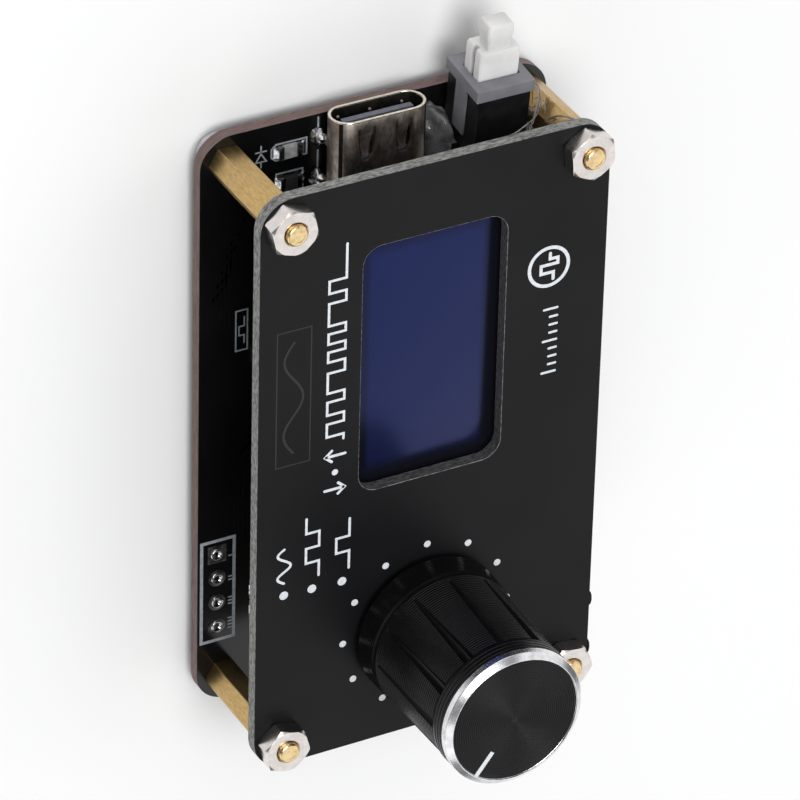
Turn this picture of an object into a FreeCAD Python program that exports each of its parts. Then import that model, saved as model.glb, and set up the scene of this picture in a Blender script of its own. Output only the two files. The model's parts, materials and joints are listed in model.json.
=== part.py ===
import FreeCAD, Part
import os
import re

import Sketcher

# A pocket oscilloscope kit: a thin front panel and a main board held apart by four
# standoffs, with a display, a rotary encoder and its knob, a USB-C socket and a
# self-locking push switch. All sizes are in millimetres.
# X points to the right across the panel, Y up the panel towards the USB socket and
# Z out of the panel. The origin is at the middle of the object's box, on the surface
# that the screw heads rest on.

SIZES = {
    # the two boards, and where their middle lies in Y
    "board_wide": 33.0,
    "board_long": 57.5,
    "board_thick": 1.2,
    "board_corner": 3.0,
    "board_middle": -4.055,
    "gap": 10.0,
    "hole_wide": 28.0,
    "hole_long": 52.5,
    "hole_radius": 1.1,
    "fit": 0.02,
    "nub_proud": 0.25,
    "nub_long": 1.4,
    "upper_nub": -20.4,
    "lower_nub": -25.55,
    # what stands in the main board's holes
    "pin_below": 0.7,
    "pin_hole": 0.5,
    "tab_hole": 0.65,
    "lug_hole": 1.15,
    "leg_wide": 0.5,
    "leg_thick": 0.3,
    "cone_root": 0.9,
    "cone_tip": 0.5,
    "cone_high": 0.55,
    "mound_high": 0.4,
    "mound_round": 0.25,
    "mound_spare": 0.3,
    # fasteners, M2
    "thread_radius": 0.97,
    "tapped_radius": 1.0,
    "tapped_deep": 5.0,
    "standoff_across": 3.0,
    "stud_proud": 0.4,
    "nut_across": 4.0,
    "nut_thick": 1.6,
    "nut_bevel": 0.22,
    "nut_cone_slope": 1.22,
    "head_radius": 1.9,
    "head_high": 1.3,
    "head_bevel": 0.45,
    "shank_long": 5.0,
    "recess_long": 2.0,
    "recess_wide": 0.5,
    "recess_deep": 0.6,
    # window and display
    "window_wide": 13.7,
    "window_long": 24.4,
    "window_middle": 9.75,
    "window_corner": 1.8,
    "glass_wide": 19.3,
    "glass_long": 26.7,
    "glass_thick": 1.4,
    "glass_below": 0.2,
    "carrier_wide": 27.3,
    "carrier_long": 27.8,
    "carrier_thick": 1.2,
    "pin_pitch": 2.54,
    "pin_side": 0.6,
    "display_pins": 12.3,
    "display_pin_below": 1.2,
    "spacer_high": 2.5,
    # serial header and input socket
    "header_x": -14.6,
    "header_middle": -17.05,
    "socket_x": 9.2,
    "socket_long": 8.5,
    "socket_proud": -0.2,
    "socket_mouth": 0.9,
    "socket_mouth_deep": 7.0,
    "socket_pins": 9.2,
    "socket_exit": 1.1,
    "header_ball": 1.1,
    "header_sunk": 0.65,
    # USB-C socket
    "usb_wide": 8.94,
    "usb_high": 3.26,
    "usb_long": 7.35,
    "usb_wall": 0.3,
    "usb_x": -0.75,
    "usb_proud": 0.35,
    "usb_latch": 1.85,
    "latch_front": 0.8,
    "latch_wide": 1.4,
    "latch_long": 2.9,
    "latch_slot": 0.22,
    "tongue_wide": 6.65,
    "tongue_thick": 0.7,
    "tongue_back": 0.5,
    "usb_base_long": 2.2,
    "step_long": 1.0,
    "step_high": 1.5,
    "contact_pitch": 0.5,
    "contact_wide": 0.26,
    "contact_long": 3.0,
    "contact_thick": 0.04,
    "contact_start": 1.05,
    "lead_long": 0.9,
    "lead_thick": 0.2,
    "tab_thick": 0.3,
    "tab_long": 0.9,
    "tab_rise": 1.4,
    "lump_radius": 0.75,
    "tab_front": 2.5,
    "tab_rear": 6.5,
    # self-locking push switch, in its own frame: X across, Y along the plunger and
    # Z away from the board, from the middle of the body's lower end
    "switch_x": 8.9,
    "switch_y": 24.6,
    "switch_above": 0.15,
    "switch_lean": 7.0,
    "body_wide": 5.0,
    "body_deep": 5.4,
    "body_long": 6.7,
    "body_wall": 0.45,
    "cover_wide": 5.5,
    "cover_deep": 5.7,
    "cover_long": 1.1,
    "cover_plate": 0.6,
    "mouth_play": 0.2,
    "strap_wide": 1.9,
    "strap_long": 4.6,
    "stem_wide": 3.8,
    "stem_deep": 2.7,
    "stem_above": 2.75,
    "stem_below": 3.7,
    "flange_wide": 3.95,
    "flange_deep": 3.9,
    "flange_thick": 0.8,
    "flange_below": 0.1,
    "tip_wide": 2.4,
    "tip_deep": 1.95,
    "tip_long": 2.55,
    "tip_forward": 0.3,
    "tip_aside": 0.1,
    "channel_deep": 0.8,
    "channel_wide": 0.9,
    "bridge_wide": 2.6,
    "bridge_deep": 0.8,
    "bridge_thick": 0.2,
    "bridge_forward": 0.9,
    "spring_radius": 0.8,
    "spring_wire": 0.14,
    "spring_room": 0.3,
    "spring_back": 0.6,
    "switch_pitch": 2.0,
    "low_pins": 1.1,
    "low_pins_face": 0.25,
    "low_pins_exit": 1.3,
    "high_pins": 3.1,
    "high_pins_face": 0.65,
    "high_pins_exit": 4.0,
    # hot-melt glue beside the switch
    "glue_middle": 24.8,
    "glue_wide": 2.3,
    "glue_long": 6.0,
    "glue_high": 4.5,
    "bead_middle": 0.8,
    "bead_high": 3.4,
    "bead_wide": 1.15,
    "bead_long": 2.9,
    # rotary encoder
    "knob_axis": -17.7,
    "axis_hole": 3.8,
    "encoder_side": 11.6,
    "encoder_base_high": 4.1,
    "rotor_floor": 1.8,
    "rotor_space": 5.0,
    "rotor_radius": 4.7,
    "rotor_thick": 1.3,
    "rotor_play": 0.1,
    "detents": 20,
    "notch_radius": 0.35,
    "dome_space": 2.8,
    "dome_floor": 0.6,
    "dome_radius": 2.6,
    "dome_rim": 0.3,
    "dome_shoulder": 1.1,
    "dome_shoulder_high": 0.3,
    "dome_crown": 0.36,
    "dome_thick": 0.1,
    "dome_side": 0.05,
    "detent_ring": 0.2,
    "detent_gap": 0.25,
    "frame_plate": 2.4,
    "bush_radius": 3.5,
    "bush_long": 7.0,
    "bush_bore": 3.05,
    "clamp_thick": 0.3,
    "clamp_short": 1.0,
    "lug_wide": 2.1,
    "lug_play": 0.05,
    "encoder_pins": 7.2,
    "encoder_pin_wide": 0.7,
    "encoder_exit": 1.2,
    "push_pin_pitch": 5.0,
    "turn_pin_pitch": 2.5,
    "shaft_radius": 3.0,
    "shaft_top": 25.0,
    "shaft_bevel": 0.5,
    "stem_side": 3.4,
    "stem_end": 1.6,
    "collar_radius": 3.6,
    "collar_thick": 0.6,
    "collar_play": 0.3,
    # knob, measured from its lower edge
    "knob_above": 0.6,
    "knob_high": 15.8,
    "knob_base": 7.0,
    "knob_bevel": 0.25,
    "knob_top": 6.6,
    "knob_hollow": 5.6,
    "hollow_deep": 3.0,
    "bore_deep": 13.4,
    "bore_radius": 3.02,
    "ring_high": 1.0,
    "ring_chamfer": 0.5,
    "ring_inner": 5.9,
    "cap_below": 0.12,
    "flute_count": 12,
    "flute_wide": 0.9,
    "flute_deep": 0.35,
    "flute_start": 3.2,
    "flute_end": 13.2,
    "pointer_wide": 0.4,
    "pointer_start": 3.6,
    "pointer_end": 5.85,
    "pointer_angle": 233.0,
    "pointer_thick": 0.2,
    # chips and two-ended components
    "chip_above": 0.1,
    "controller_side": 7.0,
    "controller_high": 1.4,
    "controller_x": -1.0,
    "controller_y": 4.0,
    "controller_pitch": 0.5,
    "chip_lead_long": 0.8,
    "chip_lead_wide": 0.3,
    "chip_lead_thick": 0.25,
    "fine_lead_long": 0.9,
    "fine_lead_wide": 0.22,
    "end_long": 0.45,
    "core_long": 2.0,
    "core_wide": 1.25,
    "resistor_high": 0.55,
    "capacitor_high": 0.95,
    "lamp_long": 2.2,
    "lamp_high": 0.5,
}

MAIN = "(head_high + board_thick)"
PANEL = "(head_high + board_thick + gap)"
FACE = "(head_high + 2 * board_thick + gap)"
PIN_END = "(head_high - pin_below)"
BASE_TOP = "(head_high + board_thick + encoder_base_high)"
MOUNT_FACE = "(head_high + board_thick + encoder_base_high + frame_plate)"
KNOB_LOW = "(head_high + 2 * board_thick + gap + knob_above)"

CORNERS = [(-1, -1), (1, -1), (1, 1), (-1, 1)]
TURN_TO_Y = FreeCAD.Rotation(FreeCAD.Vector(1, 0, 0), -90)
LEAN_AXIS = FreeCAD.Vector(1, 0, 0)
LEADS_A_SIDE = 12
SPRING_TURNS = 5

# x and y of the small parts' middles on the main board
LAMP_PLACE = ("-8.2", "25.95")
RESISTOR_PLACES = [("-8.1", "22.9"), ("4.5", "16.5"), ("7.5", "12"), ("-8.5", "0.5"),
                   ("-10.1", "-17.95"), ("-10.1", "-20.1")]
CAPACITOR_PLACES = [("2.4", "14"), ("-6.3", "10.5"), ("4.6", "8"), ("9.5", "-9"), ("-10.5", "6")]
# x, y, width, length, height, leads a side and their pitch
CHIPS = [("6", "-4", "3.9", "4.9", "1.5", 4, "1.27"),
         ("-2", "14", "1.7", "2.9", "1.1", 3, "0.95"),
         ("-6", "-6.5", "1.7", "2.9", "1.1", 3, "0.95")]

document = FreeCAD.newDocument("pocket_oscilloscope")
sub_parts = []


# ---- the sheet, and what every sub-part is made with ----

def fill_sheet():
    sheet = document.addObject("Spreadsheet::Sheet", "Dims")
    for row, (alias, size) in enumerate(SIZES.items(), start=1):
        sheet.set(f"A{row}", alias)
        sheet.set(f"B{row}", str(size))
        sheet.setAlias(f"B{row}", alias)
    document.recompute()


def formula(text):
    """An expression whose dimension names are read from the sheet."""
    def refer(match):
        word = match.group(0)
        return "Dims." + word if word in SIZES else word
    return re.sub(r"[a-z][a-z_]*", refer, str(text))


def bind(thing, sizes):
    for name, text in sizes.items():
        thing.setExpression(name, formula(text))


def move(thing, x, y, z):
    bind(thing, {"Placement.Base.x": x, "Placement.Base.y": y, "Placement.Base.z": z})
    return thing


def keep(thing, label):
    thing.Label = label
    sub_parts.append(thing)
    return thing


def primitive(kind, sizes, x, y, z, turn=None):
    thing = document.addObject("Part::" + kind, kind)
    bind(thing, sizes)
    if turn is not None:
        thing.Placement = FreeCAD.Placement(FreeCAD.Vector(), turn)
    return move(thing, x, y, z)


def block(wide, long, high, x, y, z):
    """A box whose middle is at x and y and whose lowest face is at z."""
    sizes = {"Length": wide, "Width": long, "Height": high}
    return primitive("Box", sizes, f"{x} - ({wide}) / 2", f"{y} - ({long}) / 2", z)


def rod(radius, high, x, y, z, turn=None):
    return primitive("Cylinder", {"Radius": radius, "Height": high}, x, y, z, turn)


def hexagon(across, high, x, y, z, turn=30):
    """A hexagonal bar; unless it is turned otherwise, two of its flats face along X."""
    sizes = {"Circumradius": f"({across}) / sqrt(3)", "Height": high}
    bar = document.addObject("Part::Prism", "Prism")
    bar.Polygon = 6
    bind(bar, sizes)
    bar.Placement = FreeCAD.Placement(FreeCAD.Vector(), FreeCAD.Rotation(FreeCAD.Vector(0, 0, 1), turn))
    return move(bar, x, y, z)


def together(pieces):
    fused = document.addObject("Part::MultiFuse", "Fuse")
    fused.Shapes = pieces
    return fused


def group(pieces):
    gathered = document.addObject("Part::Compound", "Group")
    gathered.Links = pieces
    return gathered


def cut(base, tools):
    result = document.addObject("Part::Cut", "Cut")
    result.Base = base
    result.Tool = tools[0] if len(tools) == 1 else together(tools)
    return result


def common(first, second):
    result = document.addObject("Part::Common", "Common")
    result.Base = first
    result.Tool = second
    return result


def body(label):
    made = document.addObject("PartDesign::Body", "Body")
    return keep(made, label)


def sketch(owner, plane, offset="0"):
    drawing = owner.newObject("Sketcher::SketchObject", "Sketch")
    planes = [item for item in owner.Origin.OriginFeatures if item.Role == plane]
    drawing.AttachmentSupport = [(planes[0], "")]
    drawing.MapMode = "FlatFace"
    drawing.setExpression("AttachmentOffset.Base.z", formula(offset))
    return drawing


def locate(drawing, item, point, x, y):
    """Hold one point of a sketch at a distance from the sketch's origin."""
    for kind, text in (("DistanceX", x), ("DistanceY", y)):
        place = drawing.addConstraint(Sketcher.Constraint(kind, -1, 1, item, point, 1.0))
        drawing.setExpression(f"Constraints[{place}]", formula(text))


def outline(drawing, points):
    """A closed outline of straight lines through the points."""
    first = drawing.GeometryCount
    count = len(points)
    for index in range(count):
        start = FreeCAD.Vector(index, index * index, 0)
        end = FreeCAD.Vector(index + 1, (index + 1) ** 2, 0)
        drawing.addGeometry(Part.LineSegment(start, end), False)
    for index in range(count):
        after = first + (index + 1) % count
        drawing.addConstraint(Sketcher.Constraint("Coincident", first + index, 2, after, 1))
    for index, (x, y) in enumerate(points):
        locate(drawing, first + index, 1, x, y)


def rectangle(drawing, wide, long, x="0", y="0"):
    left, right = f"{x} - ({wide}) / 2", f"{x} + ({wide}) / 2"
    low, high = f"{y} - ({long}) / 2", f"{y} + ({long}) / 2"
    outline(drawing, [(left, low), (right, low), (right, high), (left, high)])


def circle(drawing, radius, x="0", y="0"):
    ring = Part.Circle(FreeCAD.Vector(1, 1, 0), FreeCAD.Vector(0, 0, 1), 1)
    item = drawing.addGeometry(ring, False)
    locate(drawing, item, 3, x, y)
    place = drawing.addConstraint(Sketcher.Constraint("Radius", item, 1.0))
    drawing.setExpression(f"Constraints[{place}]", formula(radius))


def pad(owner, drawing, length):
    feature = owner.newObject("PartDesign::Pad", "Pad")
    feature.Profile = drawing
    feature.setExpression("Length", formula(length))
    return feature


def pocket(owner, drawing, length, upward=False):
    """Cut the sketch's outline out of the body, and see that it did cut."""
    document.recompute()
    before = owner.Shape.Volume
    feature = owner.newObject("PartDesign::Pocket", "Pocket")
    feature.Profile = drawing
    feature.Reversed = upward
    feature.setExpression("Length", formula(length))
    document.recompute()
    if not feature.Shape.Volume < before:
        raise ValueError(owner.Label + ": a pocket cuts nothing")
    return feature


def turned(owner, points):
    """A revolution about Z of an outline of radius and height."""
    drawing = sketch(owner, "XZ_Plane")
    outline(drawing, points)
    feature = owner.newObject("PartDesign::Revolution", "Revolution")
    feature.Profile = drawing
    feature.ReferenceAxis = (drawing, ["V_Axis"])
    feature.Angle = 360
    return feature


def pattern(owner, feature, count):
    """Copies of one feature about the body's own Z axis."""
    axes = [item for item in owner.Origin.OriginFeatures if item.Role == "Z_Axis"]
    copies = owner.newObject("PartDesign::PolarPattern", "PolarPattern")
    copies.Originals = [feature]
    copies.Axis = (axes[0], [""])
    copies.Angle = 360
    copies.setExpression("Occurrences", formula(count))
    owner.Tip = copies
    return copies


def round_uprights(owner, feature, radius, chosen):
    """Round the upright edges whose middle is inside the chosen range of X."""
    document.recompute()
    names = []
    for number, edge in enumerate(feature.Shape.Edges, start=1):
        middle, box = edge.CenterOfMass, edge.BoundBox
        upright = box.ZLength > 0.9 * feature.Shape.BoundBox.ZLength and box.XLength < 0.01
        if upright and chosen(abs(middle.x)):
            names.append(f"Edge{number}")
    rounding = owner.newObject("PartDesign::Fillet", "Fillet")
    rounding.Base = (feature, names)
    rounding.setExpression("Radius", formula(radius))
    document.recompute()
    return rounding


# ---- boards ----

def board_blank(label, height):
    """A board with rounded corners and its four fastener holes."""
    plate = body(label)
    drawing = sketch(plate, "XY_Plane")
    rectangle(drawing, "board_wide", "board_long")
    blank = pad(plate, drawing, "board_thick")
    round_uprights(plate, blank, "board_corner", lambda x: x > 1)
    holes = sketch(plate, "XY_Plane")
    for side, end in CORNERS:
        circle(holes, "hole_radius", f"{side} * hole_wide / 2", f"{end} * hole_long / 2")
    pocket(plate, holes, "board_thick", upward=True)
    move(plate, "0", "board_middle", height)
    return plate


def front_panel():
    panel = board_blank("front_panel", PANEL)
    for middle in ("upper_nub", "lower_nub"):
        nub = sketch(panel, "XY_Plane")
        rectangle(nub, "2 * nub_proud", "nub_long", "board_wide / 2", middle)
        pad(panel, nub, "board_thick")
    opening = sketch(panel, "XY_Plane")
    rectangle(opening, "window_wide", "window_long", "0", "window_middle")
    window = pocket(panel, opening, "board_thick", upward=True)
    inside_window = SIZES["window_wide"] / 2
    round_uprights(panel, window, "window_corner", lambda x: abs(x - inside_window) < 0.1)
    axis = sketch(panel, "XY_Plane")
    circle(axis, "axis_hole", "0", "knob_axis")
    pocket(panel, axis, "board_thick", upward=True)


def main_board():
    board = board_blank("main_board", "head_high")
    holes = sketch(board, "XY_Plane")
    for x, y, radius in through_holes():
        circle(holes, radius, x, y)
    pocket(board, holes, "board_thick", upward=True)


def row(count, pitch):
    """Places of a row of pins about its middle."""
    return [f"{index - (count - 1) / 2} * {pitch}" for index in range(count)]


def display_pin_places():
    return [("display_pins", f"window_middle + {y}") for y in row(4, "pin_pitch")]


def switch_pin_places():
    return [(f"switch_x + {x}", f"switch_y - {rank}") for rank in ("low_pins", "high_pins")
            for x in row(3, "switch_pitch")]


def encoder_pin_places():
    upper = [(x, "knob_axis + encoder_pins") for x in row(2, "push_pin_pitch")]
    lower = [(x, "knob_axis - encoder_pins") for x in row(3, "turn_pin_pitch")]
    return upper + lower


def lug_places():
    return [(f"{side} * (encoder_side / 2 + clamp_thick / 2 + lug_play)", "knob_axis")
            for side in (-1, 1)]


def socket_pin_places():
    return [(f"socket_x + {x}", "-board_long / 2 - socket_proud + socket_pins")
            for x in row(2, "pin_pitch")]


def tab_places():
    front = "board_long / 2 + usb_proud"
    return [(f"usb_x + {side} * (usb_wide - tab_thick) / 2", f"{front} - {back}")
            for side in (-1, 1) for back in ("tab_front", "tab_rear")]


def pin_places():
    return display_pin_places() + switch_pin_places() + encoder_pin_places() + socket_pin_places()


def through_holes():
    holes = [(x, y, "pin_hole") for x, y in pin_places()]
    holes += [(x, y, "tab_hole") for x, y in tab_places()]
    holes += [(x, y, "lug_hole") for x, y in lug_places()]
    return holes


def on_board(y):
    return f"board_middle + {y}"


# ---- fasteners ----

def standoffs():
    pieces = []
    for side, end in CORNERS:
        x, y = f"{side} * hole_wide / 2", on_board(f"{end} * hole_long / 2")
        bar = hexagon("standoff_across", "gap", x, y, MAIN, 0 if side < 0 else 30)
        stud = rod("thread_radius", "board_thick + nut_thick + stud_proud", x, y, PANEL)
        bore = rod("tapped_radius", "tapped_deep", x, y, MAIN)
        pieces.append(cut(together([bar, stud]), [bore]))
    keep(group(pieces), "standoffs")


def front_nuts():
    pieces = []
    for side, end in CORNERS:
        x, y = f"{side} * hole_wide / 2", on_board(f"{end} * hole_long / 2")
        bar = hexagon("nut_across", "nut_thick", x, y, FACE)
        narrow = "nut_across / sqrt(3) - nut_bevel"
        wide = f"{narrow} + nut_cone_slope"
        upper = primitive("Cone", {"Radius1": wide, "Radius2": narrow, "Height": "nut_thick"}, x, y, FACE)
        lower = primitive("Cone", {"Radius1": narrow, "Radius2": wide, "Height": "nut_thick"}, x, y, FACE)
        bore = rod("tapped_radius", "nut_thick", x, y, FACE)
        pieces.append(cut(common(bar, common(upper, lower)), [bore]))
    keep(group(pieces), "front_nuts")


def rear_screws():
    pieces = []
    for side, end in CORNERS:
        x, y = f"{side} * hole_wide / 2", on_board(f"{end} * hole_long / 2")
        flank = rod("head_radius", "head_high - head_bevel", x, y, "head_bevel")
        crown = primitive("Cone", {"Radius1": "head_radius - head_bevel", "Height": "head_bevel",
                                   "Radius2": "head_radius"}, x, y, "0")
        shank = rod("thread_radius", "shank_long", x, y, "head_high")
        across = block("recess_long", "recess_wide", "recess_deep", x, y, "0")
        along = block("recess_wide", "recess_long", "recess_deep", x, y, "0")
        pieces.append(cut(together([flank, crown, shank]), [across, along]))
    keep(group(pieces), "rear_screws")


# ---- display ----

def display():
    middle = on_board("window_middle")
    under_glass = f"{PANEL} - glass_below - glass_thick"
    glass = block("glass_wide", "glass_long", "glass_thick", "0", middle, under_glass)
    keep(glass, "display_glass")
    carrier_low = f"{under_glass} - carrier_thick"
    plate = block("carrier_wide", "carrier_long", "carrier_thick", "0", middle, carrier_low)
    holes = [rod("pin_hole", "carrier_thick", x, on_board(y), carrier_low)
             for x, y in display_pin_places()]
    keep(cut(plate, holes), "display_carrier")
    pins = [block("pin_side", "pin_side", f"{PANEL} - display_pin_below - {PIN_END}", x,
                  on_board(y), PIN_END) for x, y in display_pin_places()]
    keep(group(pins), "display_pins")
    bar = block("pin_pitch", "4 * pin_pitch", "spacer_high", "display_pins", middle, MAIN)
    bores = [block("pin_side + fit", "pin_side + fit", "spacer_high", x, on_board(y), MAIN)
             for x, y in display_pin_places()]
    keep(cut(bar, bores), "display_pin_spacer")


# ---- USB-C socket ----

def stadium(wide, high, long, front, middle):
    """A bar along Y with rounded sides, from its front end backwards."""
    back = f"{front} - ({long})"
    flat = block(f"{wide} - ({high})", long, high, "usb_x", f"{back} + ({long}) / 2",
                 f"{middle} - ({high}) / 2")
    sides = [rod(f"({high}) / 2", long, f"usb_x + {side} * (({wide}) - ({high})) / 2", back,
                 middle, TURN_TO_Y) for side in (-1, 1)]
    return together([flat] + sides)


def usb_socket():
    front = on_board("board_long / 2 + usb_proud")
    middle = f"({MAIN} + usb_high / 2)"
    outer = stadium("usb_wide", "usb_high", "usb_long", front, middle)
    inside_wide, inside_high = "(usb_wide - 2 * usb_wall)", "(usb_high - 2 * usb_wall)"
    inner = stadium(inside_wide, inside_high, "usb_long", front, middle)
    slots = []
    for side in (-1, 1):
        x = f"usb_x + {side} * usb_latch"
        top = f"{MAIN} + usb_high - usb_wall"
        near = f"{front} - latch_front"
        for edge in (-1, 1):
            leg_x = f"{x} + {edge} * (latch_wide - latch_slot) / 2"
            slots.append(block("latch_slot", "latch_long", "usb_wall", leg_x,
                               f"{near} - latch_long / 2", top))
        slots.append(block("latch_wide", "2 * latch_slot", "usb_wall", x,
                           f"{near} - latch_long + latch_slot", top))
    tabs = [block("tab_thick", "tab_long", f"{MAIN} + tab_rise - {PIN_END}", x, on_board(y), PIN_END)
            for x, y in tab_places()]
    keep(together([cut(outer, [inner] + slots), *tabs]), "usb_shell")

    base_front = f"{front} - usb_long + usb_base_long"
    base = stadium(f"{inside_wide} - fit", f"{inside_high} - fit", "usb_base_long", base_front, middle)
    tongue_long = "usb_long - usb_base_long - tongue_back"
    tongue = block("tongue_wide", tongue_long, "tongue_thick", "usb_x",
                   f"{base_front} + ({tongue_long}) / 2", f"{middle} - tongue_thick / 2")
    step = block("tongue_wide", "step_long", "step_high", "usb_x", f"{base_front} + step_long / 2",
                 f"{middle} - step_high / 2")
    keep(together([base, tongue, step]), "usb_tongue")

    contacts = []
    contact_middle = f"{base_front} + contact_start + contact_long / 2"
    for x in row(12, "contact_pitch"):
        for low in ("tongue_thick / 2", "-tongue_thick / 2 - contact_thick"):
            contacts.append(block("contact_wide", "contact_long", "contact_thick", f"usb_x + {x}",
                                  contact_middle, f"{middle} + {low}"))
    keep(group(contacts), "usb_contacts")
    leads = [block("contact_wide", "lead_long", "lead_thick", f"usb_x + {x}",
                   f"{front} - usb_long - lead_long / 2 - fit", MAIN)
             for x in row(12, "contact_pitch")]
    keep(group(leads), "usb_leads")

    lumps = []
    for x, y in tab_places():
        side = -1 if "-1 *" in x else 1
        wall = f"usb_x + {side} * (usb_wide / 2 + fit)"
        ball = primitive("Sphere", {"Radius": "lump_radius"}, wall, on_board(y), MAIN)
        half = block("lump_radius", "2 * lump_radius", "lump_radius",
                     f"{wall} + {side} * lump_radius / 2", on_board(y), MAIN)
        lumps.append(common(ball, half))
    return keep(group(lumps), "usb_solder")


# ---- push switch, leaning a little away from the board ----

def lean(thing, label):
    thing.Placement = FreeCAD.Placement(FreeCAD.Vector(), FreeCAD.Rotation(LEAN_AXIS, 1))
    thing.setExpression("Placement.Rotation.Angle", formula("switch_lean"))
    move(thing, "switch_x", on_board("switch_y"), f"{MAIN} + switch_above")
    return keep(thing, label)


def bar_between(wide, deep, low, high, x="0", z="body_deep / 2"):
    """A switch piece from low to high along the plunger, centred at x and z."""
    long = f"(({high}) - ({low}))"
    return block(wide, long, deep, x, f"{low} + {long} / 2", f"{z} - ({deep}) / 2")


def push_switch():
    inside = "(body_wide - 2 * body_wall)"
    inside_deep = "(body_deep - 2 * body_wall)"
    shell = bar_between("body_wide", "body_deep", "0", "body_long")
    well = bar_between(inside, inside_deep, "body_wall", "body_long")
    lean(cut(shell, [well]), "switch_body")

    skirt_low = "(body_long + cover_plate - cover_long)"
    cap = bar_between("cover_wide", "cover_deep", skirt_low, "body_long + cover_plate")
    seat = bar_between("body_wide + 2 * fit", "body_deep + 2 * fit", skirt_low, "body_long")
    mouth = bar_between("stem_wide + mouth_play", "stem_deep + mouth_play", "body_long",
                        "body_long + cover_plate")
    strap_thick = "((cover_wide - body_wide) / 2 - fit)"
    straps = [bar_between(strap_thick, "strap_wide", f"{skirt_low} - strap_long", skirt_low,
                          f"{side} * (body_wide / 2 + fit + {strap_thick} / 2)")
              for side in (-1, 1)]
    lean(together([cut(cap, [seat, mouth]), *straps]), "switch_cover")

    plate_top = "(body_long + cover_plate)"
    stem = bar_between("stem_wide", "stem_deep", f"{plate_top} - stem_below",
                       f"{plate_top} + stem_above")
    flange = bar_between("flange_wide", "flange_deep", "body_long - flange_below - flange_thick",
                         "body_long - flange_below")
    tip_low = f"{plate_top} + stem_above"
    tip = bar_between("tip_wide", "tip_deep", tip_low, f"{tip_low} + tip_long", "-tip_aside",
                      "body_deep / 2 + tip_forward")
    channel = bar_between("channel_deep", "channel_wide", plate_top, f"{plate_top} + stem_above",
                          "-stem_wide / 2")
    lean(cut(together([stem, flange, tip]), [channel]), "switch_plunger")

    bridge_top = f"{plate_top} - stem_below - fit"
    bridge = bar_between("bridge_wide", "bridge_deep", f"{bridge_top} - bridge_thick", bridge_top, "0",
                         "body_deep / 2 + bridge_forward")
    lean(group([bridge]), "switch_contact")

    turns = []
    spring_low, spring_high = "body_wall + spring_room", f"{plate_top} - stem_below - spring_room"
    for index in range(SPRING_TURNS):
        place = f"{spring_low} + (({spring_high}) - ({spring_low})) * {index} / {SPRING_TURNS - 1}"
        turns.append(primitive("Torus", {"Radius1": "spring_radius", "Radius2": "spring_wire"}, "0",
                               place, "body_deep / 2 - spring_back", TURN_TO_Y))
    lean(group(turns), "switch_spring")

    pins = []
    for x, y in switch_pin_places():
        rank = "low_pins" if y.endswith("low_pins") else "high_pins"
        height = f"{MAIN} + {rank}_exit"
        face = f"switch_y - {rank}_face"
        reach = f"({face} - ({y}) + leg_thick / 2)"
        pins.append(together([
            block("leg_wide", reach, "leg_thick", x, on_board(f"{face} - {reach} / 2"),
                  f"{height} - leg_thick"),
            block("leg_wide", "leg_thick", f"{height} - {PIN_END}", x, on_board(y), PIN_END)]))
    keep(group(pins), "switch_pins")


# ---- rotary encoder ----

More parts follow.
